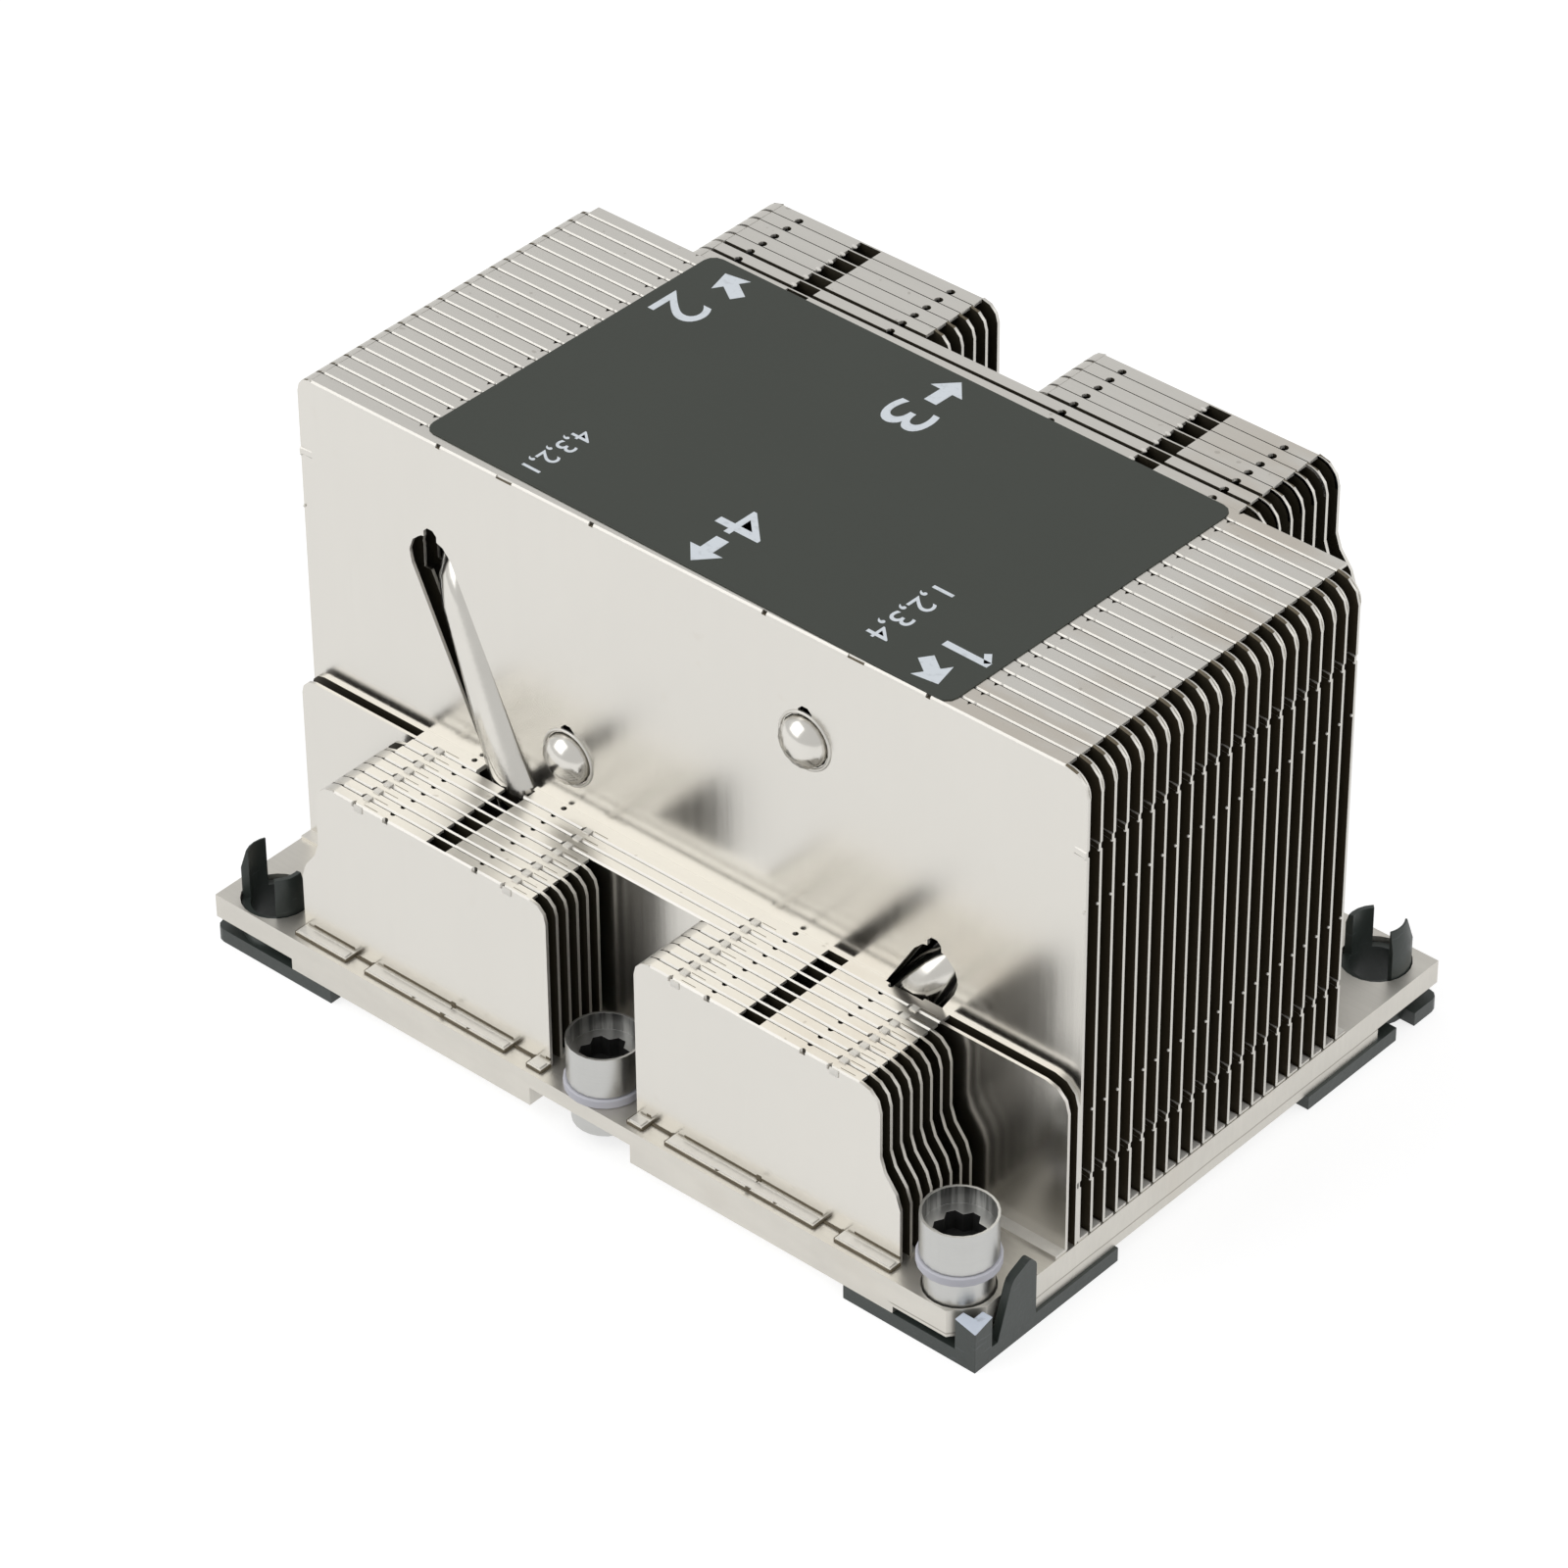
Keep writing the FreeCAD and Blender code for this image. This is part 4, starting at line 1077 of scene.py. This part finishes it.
class HEATSINK_OT_pipes(bpy.types.Operator):
    """Bent heat pipes and the burred collars round their tips"""

    bl_idname = "heatsink.pipes"
    bl_label = "Heat pipes"

    def execute(self, context):
        form = context.scene.heatsink_parts
        for node in PIPES:
            pipe = copy_of(node, "drawn_" + node)
            only(pipe)
            bpy.ops.object.shade_smooth_by_angle(angle=math.radians(50))
            paint_faces(pipe, [finish_of(drawn_pipe)], lambda centre, normal: 0)
            ride(pipe, "heatsink")
            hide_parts(node)
        collars = []
        for node in PIPES:
            low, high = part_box(node)
            if low.y > FRONT_FIN_LOW.y - 0.004 and "rear" in node:
                centre = self.tip_centre(node, low)
                bpy.ops.object.select_all(action="DESELECT")
                bpy.ops.mesh.primitive_torus_add(
                    major_segments=40, minor_segments=10, major_radius=form.collar_radius,
                    minor_radius=form.collar_wire, location=centre, rotation=(math.pi / 2, 0, 0),
                )
                collar = bpy.context.view_layer.objects.active
                placed(collar)
                bpy.ops.object.shade_smooth()
                collars.append(collar)
        if not collars:
            raise RuntimeError("no pipe tip stands out of the front fin")
        collars = joined(collars, "pipe_collars")
        paint_faces(collars, [finish_of(plated_edge)], lambda centre, normal: 0)
        ride(collars, "heatsink")
        return {"FINISHED"}

    def tip_centre(self, node, low):
        """Centre of a pipe's sealed tip, in the plane of the front fin."""
        tips = [v.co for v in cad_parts[node].data.vertices if v.co.y < low.y + 0.0015]
        x = (min(p.x for p in tips) + max(p.x for p in tips)) / 2
        z = (min(p.z for p in tips) + max(p.z for p in tips)) / 2
        return (x, FRONT_FIN_LOW.y, z)


class HEATSINK_OT_nuts(bpy.types.Operator):
    """Turned captive nuts and the rings that hold them"""

    bl_idname = "heatsink.nuts"
    bl_label = "Captive nuts"

    def execute(self, context):
        form = context.scene.heatsink_parts
        for number in NUT_NUMBERS:
            low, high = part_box("captive_nut_" + number)
            centre = (low + high) / 2
            nut = copy_of("captive_nut_" + number, "turned_nut_" + number)
            soften(nut, form.nut_round, 3)
            steel = finish_of(lambda name: turned_steel(name, centre), "turned_steel_" + number)
            floor = high.z - NUT_RECESS

            # Socket faces take the painted shade; the recess wall takes the darker painted recess shade.
            def choose(place, normal):
                radius = (place.xy - centre.xy).length
                if radius < SOCKET_REACH and place.z < floor - 0.00005:
                    return 1
                return 2 if radius < RECESS_REACH and place.z > floor and abs(normal.z) < 0.6 else 0

            shade = finish_of(socket_shade)
            paint_faces(nut, [steel, shade, finish_of(shaded_recess_wall)], choose)
            ride(nut, "nut_" + number)
            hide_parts("captive_nut_" + number)
            ring = copy_of("retaining_ring_" + number, "moulded_ring_" + number)
            soften(ring, form.nut_round * 1.4, 3)
            paint_faces(ring, [finish_of(ring_plastic)], lambda place, normal: 0)
            ride(ring, "ring_" + number)
            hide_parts("retaining_ring_" + number)
        return {"FINISHED"}


class HEATSINK_OT_clip(bpy.types.Operator):
    """Moulded carrier clip with its guide tubes, posts and hooks"""

    bl_idname = "heatsink.clip"
    bl_label = "Carrier clip"

    def execute(self, context):
        form = context.scene.heatsink_parts
        clip = copy_of("carrier_clip", "moulded_carrier_clip")
        post_top = BASE_TOP - 0.0003
        corner = Vector((max(p.co.x for p in clip.data.vertices), BASE_LOW.y))
        for point in clip.data.vertices:
            if abs(point.co.z - post_top) < 1e-5 and (point.co.xy - corner).length < 0.0008:
                point.co.z -= form.post_chamfer
        soften(clip, form.clip_round, 2)

        def choose(place, normal):
            worn = normal.z > 0.3 and place.z > post_top - 0.001 and (place.xy - corner).length < 0.0042
            return 1 if worn and place.z < BASE_TOP else 0

        paint_faces(clip, [finish_of(clip_plastic), finish_of(worn_plastic)], choose)
        ride(clip, "heatsink")
        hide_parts("carrier_clip")
        return {"FINISHED"}


class HEATSINK_OT_label(bpy.types.Operator):
    """Dark label with the tightening numbers and their arrows"""

    bl_idname = "heatsink.label"
    bl_label = "Number label"

    def execute(self, context):
        form = context.scene.heatsink_label
        film = copy_of("number_label", "printed_label")
        squeeze = (LABEL_HIGH.z - LABEL_LOW.z - form.print_thickness) / (LABEL_HIGH.z - LABEL_LOW.z)
        for point in film.data.vertices:
            point.co.z = LABEL_LOW.z + (point.co.z - LABEL_LOW.z) * squeeze
        soften(film, 0.00004)
        paint_faces(film, [finish_of(printed_film)], lambda place, normal: 0)
        ride(film, "heatsink")
        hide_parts("number_label")
        marks = []
        for text, x, y, height, width in (
            ("1", 0.0320, -0.0146, form.digit_height, 0.0009),
            ("2", -0.0313, 0.0134, form.digit_height, 0.0044),
            ("3", 0.0002, 0.0136, form.digit_height, 0.0044),
            ("4", 0.0006, -0.0122, form.digit_height, 0.0046),
            ("4,3,2,1", -0.0232, -0.0148, form.small_height, 0.0088),
            ("1,2,3,4", 0.0230, -0.0131, form.small_height * 1.1, 0.0108),
        ):
            marks.append(self.digits(text, (x, y), height, width))
        for tail, tip in (
            ((0.0292, -0.01755), (0.0331, -0.0203)), ((-0.0282, 0.01885), (-0.0324, 0.0216)),
            ((0.00025, 0.01715), (0.0004, 0.0221)), ((0.0004, -0.0156), (0.0004, -0.0205)),
        ):
            marks.append(self.arrow(Vector(tail), Vector(tip), form))
        marks.append(self.bar(Vector((0.0346, -0.0145)), Vector((0.0336, -0.0132)), 0.0008, form))
        print_piece = joined(marks, "label_print")
        paint_faces(print_piece, [finish_of(print_ink)], lambda place, normal: 0)
        ride(print_piece, "heatsink")
        return {"FINISHED"}

    def digits(self, text, centre, height, width):
        """Flat digits of a given height and width, their tops towards +X, turned into a mesh."""
        form = bpy.context.scene.heatsink_label
        bpy.ops.object.select_all(action="DESELECT")
        bpy.ops.object.text_add()
        writing = bpy.context.view_layer.objects.active
        writing.data.body = text
        writing.data.size = height
        writing.data.offset = height * 0.003
        writing.data.extrude = form.print_thickness / 2
        writing.data.resolution_u = 6
        bpy.ops.object.convert(target="MESH")
        writing = bpy.context.view_layer.objects.active
        left, right, bottom, top = self.outline(writing)
        middle = Vector(((left + right) / 2, (bottom + top) / 2, 0))
        scale = Matrix.Diagonal((width / (right - left), height / (top - bottom), 1, 1))
        writing.data.transform(scale @ Matrix.Translation(-middle))
        writing.rotation_euler = Euler((0, 0, -math.pi / 2 - math.radians(0.9)))
        writing.location = (centre[0], centre[1], LABEL_HIGH.z - form.print_thickness / 2)
        placed(writing)
        return writing

    def bar(self, start, end, width, form):
        """Flat bar from one point to another, for the flag of a figure."""
        thick = form.print_thickness / 2
        bar = box_piece((0, -width / 2, -thick), ((end - start).length, width / 2, thick))
        bar.location = (start.x, start.y, LABEL_HIGH.z - thick)
        bar.rotation_euler = Euler((0, 0, math.atan2(end.y - start.y, end.x - start.x)))
        placed(bar)
        return bar

    def outline(self, piece):
        """Left, right, bottom and top of a piece in plan."""
        xs = [v.co.x for v in piece.data.vertices]
        ys = [v.co.y for v in piece.data.vertices]
        return min(xs), max(xs), min(ys), max(ys)

    def arrow(self, tail, tip, form):
        """Flat arrow from its tail to its tip."""
        long = (tip - tail).length
        thick = form.print_thickness / 2
        half = form.arrow_shaft / 2
        shaft = box_piece((0, -half, -thick), (long - form.arrow_head, half, thick))
        bpy.ops.object.select_all(action="DESELECT")
        head = rod_piece((0, 0, 0), 1, 2 * thick, 3, (0, 0, -math.pi / 2))
        left, right, bottom, top = self.outline(head)
        along = form.arrow_head / (right - left)
        stretch = Matrix.Diagonal((along, form.arrow_width / (top - bottom), 1, 1))
        head.data.transform(Matrix.Translation((long - right * along, 0, 0)) @ stretch)
        arrow = joined([shaft, head], "arrow")
        arrow.location = (tail.x, tail.y, LABEL_HIGH.z - thick)
        arrow.rotation_euler = Euler((0, 0, (tip - tail).to_3d().to_track_quat("X", "Z").to_euler().z))
        placed(arrow)
        return arrow


class HEATSINK_OT_stage(bpy.types.Operator):
    """Camera, lamps, floor and room"""

    bl_idname = "heatsink.stage"
    bl_label = "Stage"

    def execute(self, context):
        studio = context.scene.heatsink_studio
        self.camera(context, studio)
        self.floor(studio)
        self.room(context, studio)
        self.lamps(studio)
        context.scene.view_settings.view_transform = "Standard"
        return {"FINISHED"}

    def camera(self, context, studio):
        """Camera at the studio's eye point."""
        data = bpy.data.cameras.new("studio_camera")
        data.lens = studio.lens
        data.sensor_width = 36.0
        data.clip_start = 0.01
        data.clip_end = 20.0
        camera = bpy.data.objects.new("studio_camera", data)
        context.scene.collection.objects.link(camera)
        flat = math.cos(studio.elevation)
        east, north = math.cos(studio.azimuth), math.sin(studio.azimuth)
        away = Vector((north * flat, -east * flat, math.sin(studio.elevation)))
        right = Vector((east, north, 0.0))
        up = away.cross(right)
        turned_right = right * math.cos(studio.roll) + up * math.sin(studio.roll)
        turned_up = away.cross(turned_right)
        turn = Matrix((turned_right, turned_up, away)).transposed()
        camera.matrix_world = Matrix.Translation(Vector(studio.eye)) @ turn.to_4x4()
        context.scene.camera = camera

    def floor(self, studio):
        """Pale floor that shows white and keeps a soft shadow."""
        bpy.ops.object.select_all(action="DESELECT")
        bpy.ops.mesh.primitive_plane_add(size=studio.floor_size, location=(0, 0, 0))
        floor = bpy.context.view_layer.objects.active
        floor.name = "studio_floor"
        placed(floor)
        material = bpy.data.materials.new("floor_paper")
        material.use_nodes = True
        graph = Graph(material.node_tree)
        camera, glossy = graph.rays()
        either = graph.add("ShaderNodeMath", {"operation": "MAXIMUM"}, {0: camera, 1: glossy})
        grey = (studio.floor_grey, studio.floor_grey, studio.floor_grey, 1.0)
        paper = graph.add("ShaderNodeBsdfDiffuse", {}, {"Color": grey})
        glow = graph.add("ShaderNodeEmission", {}, {"Strength": either * studio.floor_glow})
        graph.close(graph.add("ShaderNodeAddShader", {}, {0: paper, 1: glow}))
        floor.data.materials.append(material)

    def room(self, context, studio):
        """Even light all round; what the camera and the metal see is nearly white."""
        world = bpy.data.worlds.new("studio_room")
        context.scene.world = world
        world.use_nodes = True
        graph = Graph(world.node_tree)
        camera, glossy = graph.rays()
        white = (1.0, 1.0, 1.0, 1.0)
        lit, mirrored, seen = (
            graph.add("ShaderNodeBackground", {}, {"Color": white, "Strength": strength})
            for strength in (studio.room, studio.mirrored_room, 1.0)
        )
        lit_or_mirrored = graph.add("ShaderNodeMixShader", {}, {0: glossy, 1: lit, 2: mirrored})
        whole = graph.add("ShaderNodeMixShader", {}, {0: camera, 1: lit_or_mirrored, 2: seen})
        graph.close(whole, "ShaderNodeOutputWorld")

    def lamps(self, studio):
        """Large soft lamp over the front left, and a weaker one at the right."""
        for name, place, power, size in (
            ("key_lamp", (-0.75, -0.95, 0.95), studio.key_power, 1.3),
            ("side_lamp", (1.3, 0.9, 0.8), studio.key_power * 0.55, 1.0),
        ):
            data = bpy.data.lights.new(name, "AREA")
            data.energy = power
            data.size = size
            lamp = bpy.data.objects.new(name, data)
            bpy.context.scene.collection.objects.link(lamp)
            lamp.location = place
            lamp.rotation_euler = (Vector(place) - Vector((0, 0, 0.03))).to_track_quat("Z", "Y").to_euler()


# ---- panel and registration --------------------------------------------------------------------

OPERATORS = (
    HEATSINK_OT_base,
    HEATSINK_OT_clip,
    HEATSINK_OT_core_fins,
    HEATSINK_OT_shelf_fins,
    HEATSINK_OT_rear_fins,
    HEATSINK_OT_pipes,
    HEATSINK_OT_nuts,
    HEATSINK_OT_label,
    HEATSINK_OT_stage,
)


class HEATSINK_PT_panel(bpy.types.Panel):
    """Lists the pieces and the stage"""

    bl_label = "Server heatsink"
    bl_idname = "HEATSINK_PT_panel"
    bl_space_type = "VIEW_3D"
    bl_region_type = "UI"
    bl_category = "Heatsink"

    def draw(self, context):
        for operator in OPERATORS:
            self.layout.operator(operator.bl_idname)
        for group in GROUPS:
            box = self.layout.box()
            settings = getattr(context.scene, group)
            for key in settings.__annotations__:
                box.prop(settings, key)


def register():
    for group in GROUPS.values():
        bpy.utils.register_class(group)
    for operator in OPERATORS:
        bpy.utils.register_class(operator)
    bpy.utils.register_class(HEATSINK_PT_panel)
    for name, group in GROUPS.items():
        setattr(bpy.types.Scene, name, bpy.props.PointerProperty(type=group))


def unregister():
    for name in GROUPS:
        delattr(bpy.types.Scene, name)
    bpy.utils.unregister_class(HEATSINK_PT_panel)
    for operator in reversed(OPERATORS):
        bpy.utils.unregister_class(operator)
    for group in reversed(list(GROUPS.values())):
        bpy.utils.unregister_class(group)


def main():
    register()
    for operator in OPERATORS:
        group, name = operator.bl_idname.split(".")
        getattr(getattr(bpy.ops, group), name)()


if __name__ == "__main__":
    main()
